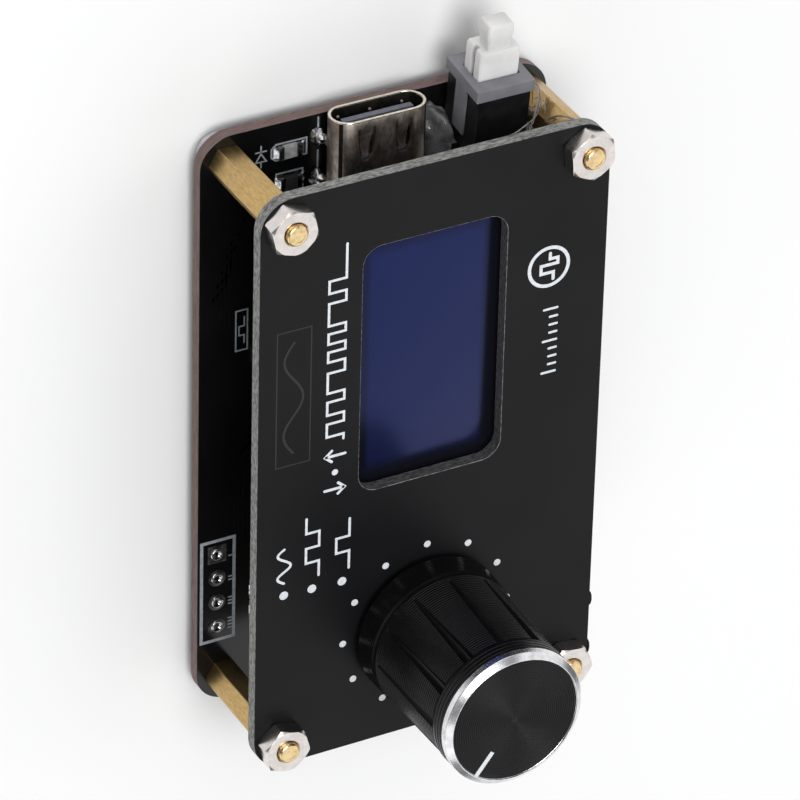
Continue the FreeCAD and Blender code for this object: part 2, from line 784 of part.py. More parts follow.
def encoder():
    axis = on_board("knob_axis")
    housing = block("encoder_side", "encoder_side", "encoder_base_high", "0", axis, MAIN)
    rotor_well = rod("rotor_space", "encoder_base_high - rotor_floor", "0", axis,
                     f"{MAIN} + rotor_floor")
    dome_well = rod("dome_space", "rotor_floor - dome_floor", "0", axis, f"{MAIN} + dome_floor")
    keep(cut(housing, [rotor_well, dome_well]), "encoder_base")

    dome = body("encoder_push_dome")
    foot = "dome_radius - dome_rim"
    turned(dome, [("0", "dome_crown"), ("dome_shoulder", "dome_shoulder_high"), (foot, "0"),
                  ("dome_radius", "0"), ("dome_radius", "dome_thick"),
                  (f"{foot} + dome_side", "dome_thick"),
                  ("dome_shoulder + dome_side", "dome_shoulder_high + dome_thick"),
                  ("0", "dome_crown + dome_thick")])
    move(dome, "0", axis, f"{MAIN} + dome_floor")

    rotor = body("encoder_rotor")
    drawing = sketch(rotor, "XY_Plane")
    circle(drawing, "rotor_radius")
    rectangle(drawing, "stem_side + rotor_play", "stem_side + rotor_play")
    pad(rotor, drawing, "rotor_thick")
    notch = sketch(rotor, "XY_Plane")
    circle(notch, "notch_radius", "rotor_radius")
    pattern(rotor, pocket(rotor, notch, "rotor_thick", upward=True), "detents")
    move(rotor, "0", axis, f"{MAIN} + rotor_floor + rotor_play")

    spring_low = f"{MAIN} + rotor_floor + rotor_thick + detent_gap"
    ring = rod("rotor_space - rotor_play", "detent_ring", "0", axis, spring_low)
    inner = rod("collar_radius + collar_play", "detent_ring", "0", axis, spring_low)
    keep(cut(ring, [inner]), "encoder_detent_spring")

    plate = block("encoder_side", "encoder_side", "frame_plate", "0", axis, BASE_TOP)
    bush = rod("bush_radius", "bush_long", "0", axis, MOUNT_FACE)
    seat = rod("collar_radius + collar_play", "collar_thick", "0", axis, BASE_TOP)
    bore = rod("bush_bore", "frame_plate + bush_long", "0", axis, BASE_TOP)
    keep(cut(together([plate, bush]), [seat, bore]), "encoder_frame")

    top = block("encoder_side + 2 * clamp_thick + 2 * lug_play", "encoder_side - clamp_short",
                "clamp_thick", "0", axis, MOUNT_FACE)
    hole = rod("bush_radius + lug_play", "clamp_thick", "0", axis, MOUNT_FACE)
    legs = [block("clamp_thick", "lug_wide", f"{MOUNT_FACE} + clamp_thick - {PIN_END}", x,
                  on_board(y), PIN_END) for x, y in lug_places()]
    keep(together([cut(top, [hole]), *legs]), "encoder_clamp")

    shaft = body("encoder_shaft")
    collar_top = "(encoder_base_high + collar_thick - lug_play)"
    collar_low = f"({collar_top} - collar_thick)"
    turned(shaft, [("0", collar_low), ("collar_radius", collar_low), ("collar_radius", collar_top),
                   ("shaft_radius", collar_top), ("shaft_radius", "shaft_top - shaft_bevel"),
                   ("shaft_radius - shaft_bevel", "shaft_top"), ("0", "shaft_top")])
    square = sketch(shaft, "XY_Plane", "stem_end")
    rectangle(square, "stem_side", "stem_side")
    pad(shaft, square, f"{collar_low} - stem_end")
    move(shaft, "0", axis, MAIN)

    pins = []
    for x, y in encoder_pin_places():
        side = -1 if "-" in y else 1
        near, far = "(encoder_side / 2 + fit / 2)", "(encoder_pins + leg_thick / 2)"
        middle = f"knob_axis + {side} * ({near} + {far}) / 2"
        pins.append(together([
            block("encoder_pin_wide", f"{far} - {near}", "leg_thick", x, on_board(middle),
                  f"{MAIN} + encoder_exit"),
            block("encoder_pin_wide", "leg_thick", f"{MAIN} + encoder_exit + leg_thick - {PIN_END}", x,
                  on_board(y), PIN_END)]))
    keep(group(pins), "encoder_pins")


# ---- knob ----

def knob():
    axis = on_board("knob_axis")
    grip = body("knob_body")
    shoulder = "(knob_high - ring_high)"
    turned(grip, [("knob_hollow", "0"), ("knob_base - knob_bevel", "0"), ("knob_base", "knob_bevel"),
                  ("knob_top", shoulder), ("0", shoulder), ("0", "bore_deep"),
                  ("bore_radius", "bore_deep"), ("bore_radius", "hollow_deep"),
                  ("knob_hollow", "hollow_deep")])
    flute = sketch(grip, "XY_Plane", "flute_start")
    rectangle(flute, "2 * (flute_deep + knob_base - knob_top)", "flute_wide",
              "knob_base + (knob_base - knob_top) / 2")
    cutter = pocket(grip, flute, "flute_end - flute_start", upward=True)
    pattern(grip, cutter, "flute_count")
    move(grip, "0", axis, KNOB_LOW)

    ring = body("knob_ring")
    turned(ring, [("ring_inner", "0"), ("knob_top", "0"), ("knob_top", "ring_high - ring_chamfer"),
                  ("knob_top - ring_chamfer", "ring_high"), ("ring_inner", "ring_high")])
    move(ring, "0", axis, f"{KNOB_LOW} + {shoulder}")

    disc = rod("ring_inner", "ring_high - cap_below", "0", axis, f"{KNOB_LOW} + {shoulder}")
    groove_low = f"{KNOB_LOW} + knob_high - cap_below - pointer_thick"
    keep(cut(disc, [pointer_bar(groove_low)]), "knob_cap")
    keep(pointer_bar(groove_low), "knob_pointer")


def pointer_bar(low):
    """The bar of the pointer, from the knob's middle part out to the ring."""
    axis = on_board("knob_axis")
    turn = FreeCAD.Rotation(FreeCAD.Vector(0, 0, 1), SIZES["pointer_angle"])
    sizes = {"Length": "pointer_end - pointer_start", "Width": "pointer_wide",
             "Height": "pointer_thick"}
    bar = primitive("Box", sizes, "0", "0", "0", turn)
    bar.setExpression("Placement.Rotation.Angle", formula("pointer_angle"))
    ahead = "pointer_start"
    across = "pointer_wide / 2"
    cosine, sine = "cos(pointer_angle * 1deg)", "sin(pointer_angle * 1deg)"
    return move(bar, f"{ahead} * {cosine} + {across} * {sine}",
                f"{axis} + {ahead} * {sine} - {across} * {cosine}", low)


# ---- small parts on the main board ----

def chip(x, y, wide, long, high, leads_a_side, pitch):
    """A moulded chip, and its leads along the two sides that face X."""
    case = block(wide, long, high, x, on_board(y), f"{MAIN} + chip_above")
    leads = []
    for side in (-1, 1):
        lead_x = f"{x} + {side} * (({wide}) / 2 + chip_lead_long / 2 + fit / 2)"
        for place in row(leads_a_side, pitch):
            leads.append(block("chip_lead_long", "chip_lead_wide", "chip_lead_thick", lead_x,
                               on_board(f"{y} + {place}"), MAIN))
    return case, leads


def controller():
    """The microcontroller and the leads along its four sides."""
    side = "controller_side"
    case = block(side, side, "controller_high", "controller_x", on_board("controller_y"),
                 f"{MAIN} + chip_above")
    keep(case, "microcontroller")
    leads = []
    reach = f"(({side} + fine_lead_long + fit) / 2)"
    for end in (-1, 1):
        for place in row(LEADS_A_SIDE, "controller_pitch"):
            leads.append(block("fine_lead_long", "fine_lead_wide", "chip_lead_thick",
                               f"controller_x + {end} * {reach}", on_board(f"controller_y + {place}"), MAIN))
            leads.append(block("fine_lead_wide", "fine_lead_long", "chip_lead_thick",
                               f"controller_x + {place}", on_board(f"controller_y + {end} * {reach}"), MAIN))
    return leads


def circuit():
    leads = controller()
    cases = []
    for sizes in CHIPS:
        case, more = chip(*sizes)
        cases.append(case)
        leads += more
    keep(group(cases), "small_chips")
    keep(group(leads), "chip_leads")


def chip_pair(place, long, high, along_x=True):
    """A two-ended component: its body and its two soldered ends."""
    x, y = place
    core_long = f"{long} - 2 * end_long"
    size = (core_long, "core_wide") if along_x else ("core_wide", core_long)
    core = block(*size, high, x, on_board(y), MAIN)
    ends = []
    for side in (-1, 1):
        shift = f"{side} * ({long} - end_long) / 2"
        if along_x:
            ends.append(block("end_long", "core_wide", f"{high} + fit", f"{x} + {shift}", on_board(y), MAIN))
        else:
            ends.append(block("core_wide", "end_long", f"{high} + fit", x, on_board(f"{y} + {shift}"), MAIN))
    return core, ends


def passives():
    lamp, ends = chip_pair(LAMP_PLACE, "lamp_long", "lamp_high")
    keep(lamp, "status_led")
    for label, places, high, along_x in (("resistors", RESISTOR_PLACES, "resistor_high", True),
                                         ("capacitors", CAPACITOR_PLACES, "capacitor_high", False)):
        cores = []
        for place in places:
            core, more = chip_pair(place, "core_long", high, along_x)
            cores.append(core)
            ends += more
        keep(group(cores), label)
    keep(group(ends), "component_ends")


def input_socket():
    """A two-way socket at the lower edge, and the pins bent down behind it."""
    front = "-board_long / 2 - socket_proud"
    bar = block("2 * pin_pitch", "socket_long", "pin_pitch", "socket_x",
                on_board(f"{front} + socket_long / 2"), MAIN)
    back = f"({front} + socket_long + fit / 2)"
    reach = "(socket_pins + leg_thick / 2 - socket_long - fit / 2)"
    holes = []
    pins = []
    for x, y in socket_pin_places():
        holes.append(block("socket_mouth", "socket_mouth_deep", "socket_mouth", x,
                           on_board(f"{front} + socket_mouth_deep / 2"),
                           f"{MAIN} + (pin_pitch - socket_mouth) / 2"))
        pins.append(together([
            block("leg_wide", reach, "leg_thick", x, on_board(f"{back} + {reach} / 2"),
                  f"{MAIN} + socket_exit"),
            block("leg_wide", "leg_thick", f"{MAIN} + socket_exit + leg_thick - {PIN_END}", x,
                  on_board(y), PIN_END)]))
    keep(cut(bar, holes), "input_socket")
    keep(group(pins), "input_pins")


def header_places():
    return [("header_x", f"header_middle + {place}") for place in row(4, "pin_pitch")]


def serial_header():
    """Solder that closes the four holes of the serial header, on the board's front."""
    domes = []
    for x, y in header_places():
        ball = primitive("Sphere", {"Radius": "header_ball"}, x, on_board(y), f"{MAIN} - header_sunk")
        above = block("2 * header_ball", "2 * header_ball", "header_ball", x, on_board(y), MAIN)
        domes.append(common(ball, above))
    keep(group(domes), "header_solder")


def cone_under(place, root, tip, high, slot=None):
    """Solder on the main board's back, round a pin if there is a slot for one."""
    x, y = place
    low = f"head_high - {high}"
    cone = primitive("Cone", {"Radius1": tip, "Radius2": root, "Height": high}, x, on_board(y), low)
    return cut(cone, [block(*slot, high, x, on_board(y), low)]) if slot else cone


def rear_solder():
    pin = ("encoder_pin_wide + fit", "pin_side + fit")
    tab = ("tab_thick + 2 * fit", "tab_long + 2 * fit")
    lug = ("clamp_thick + 2 * fit", "lug_wide + 2 * fit")
    cones = [cone_under(place, "cone_root", "cone_tip", "cone_high", pin) for place in pin_places()]
    cones += [cone_under(place, f"{hole} + mound_spare", f"{hole} + mound_spare - mound_round",
                         "mound_high", slot)
              for places, hole, slot in ((tab_places(), "tab_hole", tab), (lug_places(), "lug_hole", lug))
              for place in places]
    cones += [cone_under(place, "cone_root", "cone_tip", "cone_high") for place in header_places()]
    keep(group(cones), "rear_solder")


def glue(solder):
    """Hot-melt glue that fills the gap between the USB socket and the push switch."""
    x = "(usb_x + usb_wide / 2 + switch_x - cover_wide / 2) / 2"
    y = on_board("glue_middle")
    bead = primitive("Ellipsoid", {"Radius1": "bead_high", "Radius2": "bead_wide",
                                   "Radius3": "bead_long"}, x, y, f"{MAIN} + bead_middle")
    room = block("glue_wide", "glue_long", "glue_high", x, y, MAIN)
    keep(cut(common(bead, room), [solder]), "glue_bead")


# ---- build, test and write ----

def test_all():
    document.recompute()
    for thing in document.Objects:
        if "Invalid" in thing.State or "Error" in thing.State:
            raise ValueError(f"{thing.Name} ({thing.Label}) did not build: {thing.State}")
    labels = [thing.Label for thing in sub_parts]
    if len(set(labels)) != len(labels):
        raise ValueError("two sub-parts share a name")
    for thing in sub_parts:
        if thing.Shape.isNull() or not thing.Shape.isValid() or not thing.Shape.Solids:
            raise ValueError(thing.Label + " has no valid solid")


def write_all():
    os.makedirs("parts", exist_ok=True)
    for thing in sub_parts:
        thing.Shape.exportStep(os.path.join("parts", thing.Label + ".step"))
        print(f"{thing.Label}: {len(thing.Shape.Solids)} solids, {thing.Shape.Volume:.2f} mm3")


fill_sheet()
front_panel()
main_board()
standoffs()
front_nuts()
rear_screws()
display()
tab_solder = usb_socket()
push_switch()
encoder()
knob()
circuit()
passives()
input_socket()
serial_header()
rear_solder()
glue(tab_solder)
test_all()
write_all()
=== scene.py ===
import json
import random
from math import atan2, copysign, cos, pi, radians, sin, sqrt, tan

import bmesh
import bpy
from mathutils import Matrix, Vector, noise


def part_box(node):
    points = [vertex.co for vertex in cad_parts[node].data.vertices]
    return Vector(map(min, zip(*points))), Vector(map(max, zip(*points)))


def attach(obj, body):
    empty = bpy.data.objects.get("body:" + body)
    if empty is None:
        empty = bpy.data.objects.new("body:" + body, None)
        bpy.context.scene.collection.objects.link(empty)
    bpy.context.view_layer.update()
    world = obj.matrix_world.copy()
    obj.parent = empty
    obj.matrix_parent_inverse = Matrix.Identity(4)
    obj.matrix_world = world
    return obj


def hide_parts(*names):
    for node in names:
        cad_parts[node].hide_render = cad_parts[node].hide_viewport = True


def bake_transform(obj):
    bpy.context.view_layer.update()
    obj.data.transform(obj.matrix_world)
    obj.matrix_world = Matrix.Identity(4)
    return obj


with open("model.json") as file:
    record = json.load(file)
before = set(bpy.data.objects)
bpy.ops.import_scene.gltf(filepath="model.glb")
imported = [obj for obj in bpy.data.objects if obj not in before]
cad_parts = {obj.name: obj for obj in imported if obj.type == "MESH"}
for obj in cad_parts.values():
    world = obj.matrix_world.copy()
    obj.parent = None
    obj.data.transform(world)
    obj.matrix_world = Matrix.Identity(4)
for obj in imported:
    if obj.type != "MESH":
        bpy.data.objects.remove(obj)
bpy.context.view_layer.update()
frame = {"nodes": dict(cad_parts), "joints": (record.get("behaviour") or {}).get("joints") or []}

# Everything below is measured in millimetres in the CAD's frame, and made metres as each mesh is finished.
MM = 0.001

# the noise that makes solder lumpy takes its seed from the clock unless one is set
noise.seed_set(7)


# ---- where the CAD's nodes are ----

def box_mm(node):
    low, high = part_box(node)
    return low / MM, high / MM


def middle_of(box):
    return (box[0] + box[1]) / 2


def islands(node):
    """The points of each separate solid of a CAD node."""
    mesh = bmesh.new()
    mesh.from_mesh(frame["nodes"][node].data)
    bmesh.ops.remove_doubles(mesh, verts=mesh.verts, dist=2e-6)
    found, seen = [], set()
    for start in mesh.verts:
        if start in seen:
            continue
        seen.add(start)
        group, queue = [], [start]
        while queue:
            point = queue.pop()
            group.append(point.co / MM)
            for edge in point.link_edges:
                other = edge.other_vert(point)
                if other not in seen:
                    seen.add(other)
                    queue.append(other)
        found.append(group)
    mesh.free()
    return found


def extent(points):
    return tuple(Vector([pick(point[axis] for point in points) for axis in range(3)]) for pick in (min, max))


def solids(node):
    """The box of each separate solid of a CAD node."""
    return [extent(points) for points in islands(node)]


def feet(node):
    """The middle of the lowest end of each solid of a node, such as a pin's tip."""
    places = []
    for points in islands(node):
        lowest = min(point.z for point in points)
        places.append(middle_of(extent([point for point in points if point.z < lowest + 0.05])))
    return places


board_low, board_high = box_mm("main_board")
panel_low, panel_high = box_mm("front_panel")
MID = middle_of((board_low, board_high)).y   # the boards' middle along Y
MAIN = board_high.z                          # front face of the main board
BACK = board_low.z                           # rear face of the main board
FACE = panel_high.z                          # front face of the panel
HALF_WIDE = (board_high.x - board_low.x) / 2
CORNER = 3.0                                 # the boards' corner radius
HOLE_RADIUS = 1.1
HOLE_X, HOLE_Y = 14.0, 26.25                 # the fasteners, from the boards' middle
HOLES = [middle_of(box_mm("front_nuts")) + Vector((side_x * HOLE_X, side_y * HOLE_Y, 0))
         for side_x, side_y in ((-1, -1), (1, -1), (1, 1), (-1, 1))]
KNOB = middle_of(box_mm("knob_cap"))
HEADER_FIRST, PITCH = -13.24, 2.54           # the serial header's first hole and its step along Y
PICTURE_WIDE, PICTURE_LONG = 10.9, 21.5      # the part of the display that lights up


# ---- shapes, all made in a bmesh ----

def polar(x, y, radius, angle):
    return x + radius * cos(angle), y + radius * sin(angle)


def circle_points(x, y, radius, count=32):
    return [polar(x, y, radius, 2 * pi * i / count) for i in range(count)]


def level(mesh, points, height):
    """A ring of new points at one height."""
    return [mesh.verts.new((*point, height)) for point in points]


def join_rings(mesh, rings, closed=False, capped=False):
    following = rings[1:] + ([rings[0]] if closed else [])
    for first, second in zip(rings, following):
        for i in range(max(len(first), len(second))):
            corners = [first[i % len(first)], first[(i + 1) % len(first)],
                       second[(i + 1) % len(second)], second[i % len(second)]]
            corners = list(dict.fromkeys(corners))
            if len(corners) > 2:
                mesh.faces.new(corners)
    if capped:
        mesh.faces.new(rings[0][::-1])
        mesh.faces.new(rings[-1])


def lathe(mesh, profile, x, y, segments=28, closed=False):
    """Turn a profile of radius and height about an upright axis."""
    rings = [level(mesh, circle_points(x, y, radius, segments) if radius > 1e-5 else [(x, y)], height)
             for radius, height in profile]
    join_rings(mesh, rings, closed)
    return [vert for ring in rings for vert in ring]


def add_box(mesh, low, high, bevel=0.05, segments=2):
    made = bmesh.ops.create_cube(mesh, size=1.0)["verts"]
    for vert in made:
        for axis in range(3):
            vert.co[axis] = low[axis] + (vert.co[axis] + 0.5) * (high[axis] - low[axis])
    if bevel > 0:
        edges = list(dict.fromkeys(edge for vert in made for edge in vert.link_edges))
        bmesh.ops.bevel(mesh, geom=edges, offset=bevel, offset_type="OFFSET", segments=segments,
                        profile=0.6, affect="EDGES", clamp_overlap=True)


def add_plate(mesh, outlines, low, high, bevel=0.0):
    """A flat piece: the inside of the first outline, less the others."""
    curve = bpy.data.curves.new("outline", "CURVE")
    curve.dimensions = "2D"
    curve.fill_mode = "BOTH"
    curve.extrude = (high - low) / 2 - bevel
    curve.bevel_depth = bevel
    curve.bevel_resolution = 1
    curve.offset = -bevel
    for points in outlines:
        spline = curve.splines.new("POLY")
        spline.points.add(len(points) - 1)
        for place, point in zip(spline.points, points):
            place.co = (point[0], point[1], 0, 1)
        spline.use_cyclic_u = True
    holder = bpy.data.objects.new("outline", curve)
    bpy.context.scene.collection.objects.link(holder)
    bpy.context.view_layer.update()
    solid = bpy.data.meshes.new_from_object(holder.evaluated_get(bpy.context.evaluated_depsgraph_get()))
    bpy.data.objects.remove(holder)
    bpy.data.curves.remove(curve)
    part = bmesh.new()
    part.from_mesh(solid)
    bpy.data.meshes.remove(solid)
    bmesh.ops.remove_doubles(part, verts=part.verts, dist=1e-4)
    bmesh.ops.translate(part, verts=part.verts, vec=(0, 0, (low + high) / 2))
    take_in(mesh, part)


def take_in(mesh, part, matrix=None):
    """Move another bmesh's faces into this one."""
    if matrix is not None:
        bmesh.ops.transform(part, matrix=matrix, verts=part.verts)
    holder = bpy.data.meshes.new("holder")
    part.to_mesh(holder)
    part.free()
    mesh.from_mesh(holder)
    bpy.data.meshes.remove(holder)


def rounded_points(low_x, low_y, high_x, high_y, radius, count=10):
    """A rectangle with rounded corners, anticlockwise."""
    points = []
    corners = ((high_x - radius, high_y - radius, 0), (low_x + radius, high_y - radius, 90),
               (low_x + radius, low_y + radius, 180), (high_x - radius, low_y + radius, 270))
    for x, y, start in corners:
        for step in range(count + 1):
            points.append(polar(x, y, radius, radians(start + 90 * step / count)))
    return points


def round_end(middle, side, wide):
    """The points of a line's round end, clockwise from one side of it."""
    start = atan2(side.y, side.x)
    return [middle + Vector((cos(start - pi * step / 5), sin(start - pi * step / 5))) * wide / 2
            for step in range(1, 5)]


def ribbon(points, wide, closed=False):
    """Outlines of a line of constant width through the points, with mitred corners."""
    places = [Vector(point) for point in points]
    count = len(places)
    left, right = [], []
    for i, place in enumerate(places):
        before = places[i - 1] if i > 0 or closed else None
        after = places[(i + 1) % count] if i < count - 1 or closed else None
        arriving = (place - before).normalized() if before is not None else None
        leaving = (after - place).normalized() if after is not None else None
        arriving, leaving = arriving or leaving, leaving or arriving
        along = (arriving + leaving).normalized()
        side = Vector((-along.y, along.x))
        reach = wide / 2 / max(0.3, side.dot(Vector((-arriving.y, arriving.x))))
        left.append(place + side * reach)
        right.append(place - side * reach)
    if closed:
        return [left, right]
    end_cap = round_end(places[-1], left[-1] - places[-1], wide)
    start_cap = round_end(places[0], right[0] - places[0], wide)
    return [left + end_cap + right[::-1] + start_cap]


def stroke(points, wide, closed=False):
    """A ribbon through points that are measured from the boards' middle."""
    return ribbon([(x, y + MID) for x, y in points], wide, closed)


def dot(x, y, radius, count=20):
    return [circle_points(x, y + MID, radius, count)]


def corners_of(low_x, low_y, high_x, high_y):
    return [(low_x, low_y), (high_x, low_y), (high_x, high_y), (low_x, high_y)]


def add_print(mesh, drawings, low, thick=0.02):
    """Printed ink: each drawing is a list of outlines, laid flat on a face."""
    for outlines in drawings:
        add_plate(mesh, outlines, low, low + thick)


def smooth_path(points, steps):
    """A smooth line through the points."""
    placed = []
    for i in range(len(points) - 1):
        before, after = points[max(i - 1, 0)], points[min(i + 2, len(points) - 1)]
        start, end = points[i], points[i + 1]
        for step in range(steps):
            t = step / steps
            placed.append(0.5 * ((2 * start) + (end - before) * t
                                 + (2 * before - 5 * start + 4 * end - after) * t * t
                                 + (3 * start - before - 3 * end + after) * t ** 3))
    return placed + [points[-1]]


def add_strand(mesh, points, radius, sides=8):
    """A thin round strand through the points, tapering at both ends."""
    rings = []
    for i, place in enumerate(points):
        ahead = points[min(i + 1, len(points) - 1)] - points[max(i - 1, 0)]
        across = ahead.orthogonal().normalized()
        upward = ahead.cross(across).normalized()
        taper = min(1.0, 0.35 + min(i, len(points) - 1 - i) * 0.4)
        rings.append([mesh.verts.new(place + (across * x + upward * y) * radius * taper)
                      for x, y in circle_points(0, 0, 1, sides)])
    join_rings(mesh, rings, capped=True)


def lumpy(verts, size, seed):
    """Push points about a little, as set solder and glue have."""
    for vert in verts:
        vert.co += noise.noise_vector(vert.co * 1.1 + Vector((seed, seed * 2, 0))) * size


def piece(name, mesh, materials, body, replaces=(), sharp=35, matrix=None, edge_index=None):
    """Finish a bmesh as a piece of the object, which rides on a body when one is given."""
    if matrix is not None:
        bmesh.ops.transform(mesh, matrix=matrix, verts=mesh.verts)
    bmesh.ops.recalc_face_normals(mesh, faces=mesh.faces)
    if edge_index is not None:
        for face in mesh.faces:
            if abs(face.normal.z) < 0.5:
                face.material_index = edge_index
    bmesh.ops.scale(mesh, vec=(MM, MM, MM), verts=mesh.verts)
    data = bpy.data.meshes.new(name)
    mesh.to_mesh(data)
    mesh.free()
    for material in materials:
        data.materials.append(finish(material))
    data.polygons.foreach_set("use_smooth", [True] * len(data.polygons))
    data.set_sharp_from_angle(angle=radians(sharp))
    made = bpy.data.objects.new(name, data)
    bpy.context.scene.collection.objects.link(made)
    if body is not None:
        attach(made, body)
    if replaces:
        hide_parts(*replaces)
    return made


def carve(made, cutter):
    """Cut one object out of another, for good."""
    modifier = made.modifiers.new("carve", "BOOLEAN")
    modifier.operation = "DIFFERENCE"
    modifier.solver = "EXACT"
    modifier.use_self = True
    modifier.object = cutter
    bpy.context.view_layer.update()
    data = bpy.data.meshes.new_from_object(made.evaluated_get(bpy.context.evaluated_depsgraph_get()))
    made.modifiers.clear()
    made.data = data
    data.set_sharp_from_angle(angle=radians(35))
    bpy.data.objects.remove(cutter)


def dress(node, material, bevel=0.0):
    """Give a CAD node that stays its material, and soften its sharp edges."""
    held = frame["nodes"][node]
    held.data.materials.clear()
    held.data.materials.append(finish(material))
    held.modifiers.new("weld", "WELD").merge_threshold = 1e-6
    if bevel > 0:
        soften = held.modifiers.new("soften", "BEVEL")
        soften.width = bevel * MM
        soften.segments = 2
        soften.limit_method = "ANGLE"
        soften.angle_limit = radians(40)
    held.data.polygons.foreach_set("use_smooth", [True] * len(held.data.polygons))
    held.modifiers.new("normals", "WEIGHTED_NORMAL").keep_sharp = True
    held.data.set_sharp_from_angle(angle=radians(35))


# ---- materials ----

def grain_material(name, light, dark, grain, rough, bump=None, metallic=0.0, contrast=(0.35, 0.65),
                   specular=0.5, coat=0.0, sub=0.0, transmission=0.0, ior=1.5, speck=None):
    """A surface of two colours mixed by a grain, with its own roughness range and relief.

    grain and the bump's second value are waves per millimetre along X, Y and Z, and the bump's
    first value is its height in millimetres. speck is the dots per millimetre, their colour and size."""
    made = bpy.data.materials.new(name)
    made.use_nodes = True
    nodes, links = made.node_tree.nodes, made.node_tree.links
    shader = nodes["Principled BSDF"]
    for socket, value in (("Metallic", metallic), ("Specular IOR Level", specular), ("Coat Weight", coat),
                          ("Coat Roughness", 0.1), ("IOR", ior), ("Transmission Weight", transmission),
                          ("Subsurface Weight", sub), ("Subsurface Scale", 0.001),
                          ("Subsurface Radius", (1.0, 0.95, 0.9))):
        shader.inputs[socket].default_value = value
    place = nodes.new("ShaderNodeTexCoord")

    def waves(per_mm, detail=3.0, kind="ShaderNodeTexNoise"):
        mapping = nodes.new("ShaderNodeMapping")
        mapping.inputs["Scale"].default_value = [value / MM for value in per_mm]
        links.new(place.outputs["Object"], mapping.inputs["Vector"])
        texture = nodes.new(kind)
        texture.inputs["Scale"].default_value = 1.0
        if "Detail" in texture.inputs:
            texture.inputs["Detail"].default_value = detail
        links.new(mapping.outputs["Vector"], texture.inputs["Vector"])
        return texture.outputs["Fac"] if "Fac" in texture.outputs else texture.outputs["Distance"]

    def spread(value, *limits):
        ranged = nodes.new("ShaderNodeMapRange")
        for socket, limit in zip(("From Min", "From Max", "To Min", "To Max"), limits):
            ranged.inputs[socket].default_value = limit
        links.new(value, ranged.inputs["Value"])
        return ranged.outputs["Result"]

    def three(value):
        return value if isinstance(value, tuple) else (value,) * 3

    mix = nodes.new("ShaderNodeMix")
    mix.data_type = "RGBA"
    mix.inputs["A"].default_value = (*dark, 1)
    mix.inputs["B"].default_value = (*light, 1)
    links.new(spread(waves(three(grain), 4.0), *contrast, 0, 1), mix.inputs["Factor"])
    colour = mix.outputs["Result"]
    if speck is not None:
        per_mm, dot_colour, size = speck
        over = nodes.new("ShaderNodeMix")
        over.data_type = "RGBA"
        over.inputs["B"].default_value = (*dot_colour, 1)
        links.new(colour, over.inputs["A"])
        dots = waves(three(per_mm), 4.0, "ShaderNodeTexVoronoi")
        links.new(spread(dots, size, size * 0.6, 0, 1), over.inputs["Factor"])
        colour = over.outputs["Result"]
    links.new(colour, shader.inputs["Base Color"])
    polish = waves([value * 0.35 for value in three(grain)])
    links.new(spread(polish, 0.3, 0.7, *rough), shader.inputs["Roughness"])
    if bump is not None:
        relief = nodes.new("ShaderNodeBump")
        relief.inputs["Strength"].default_value = 1.0
        relief.inputs["Distance"].default_value = bump[0] * MM
        links.new(waves(three(bump[1])), relief.inputs["Height"])
        links.new(relief.outputs["Normal"], shader.inputs["Normal"])
    return made


CUT_GLASS = dict(grain=(2.2, 2.2, 7.0), rough=(0.55, 0.8), bump=(0.02, (4.0, 4.0, 9.0)),
                 contrast=(0.36, 0.64))
INK = dict(grain=3.0, rough=(0.5, 0.65), bump=(0.003, 14.0))

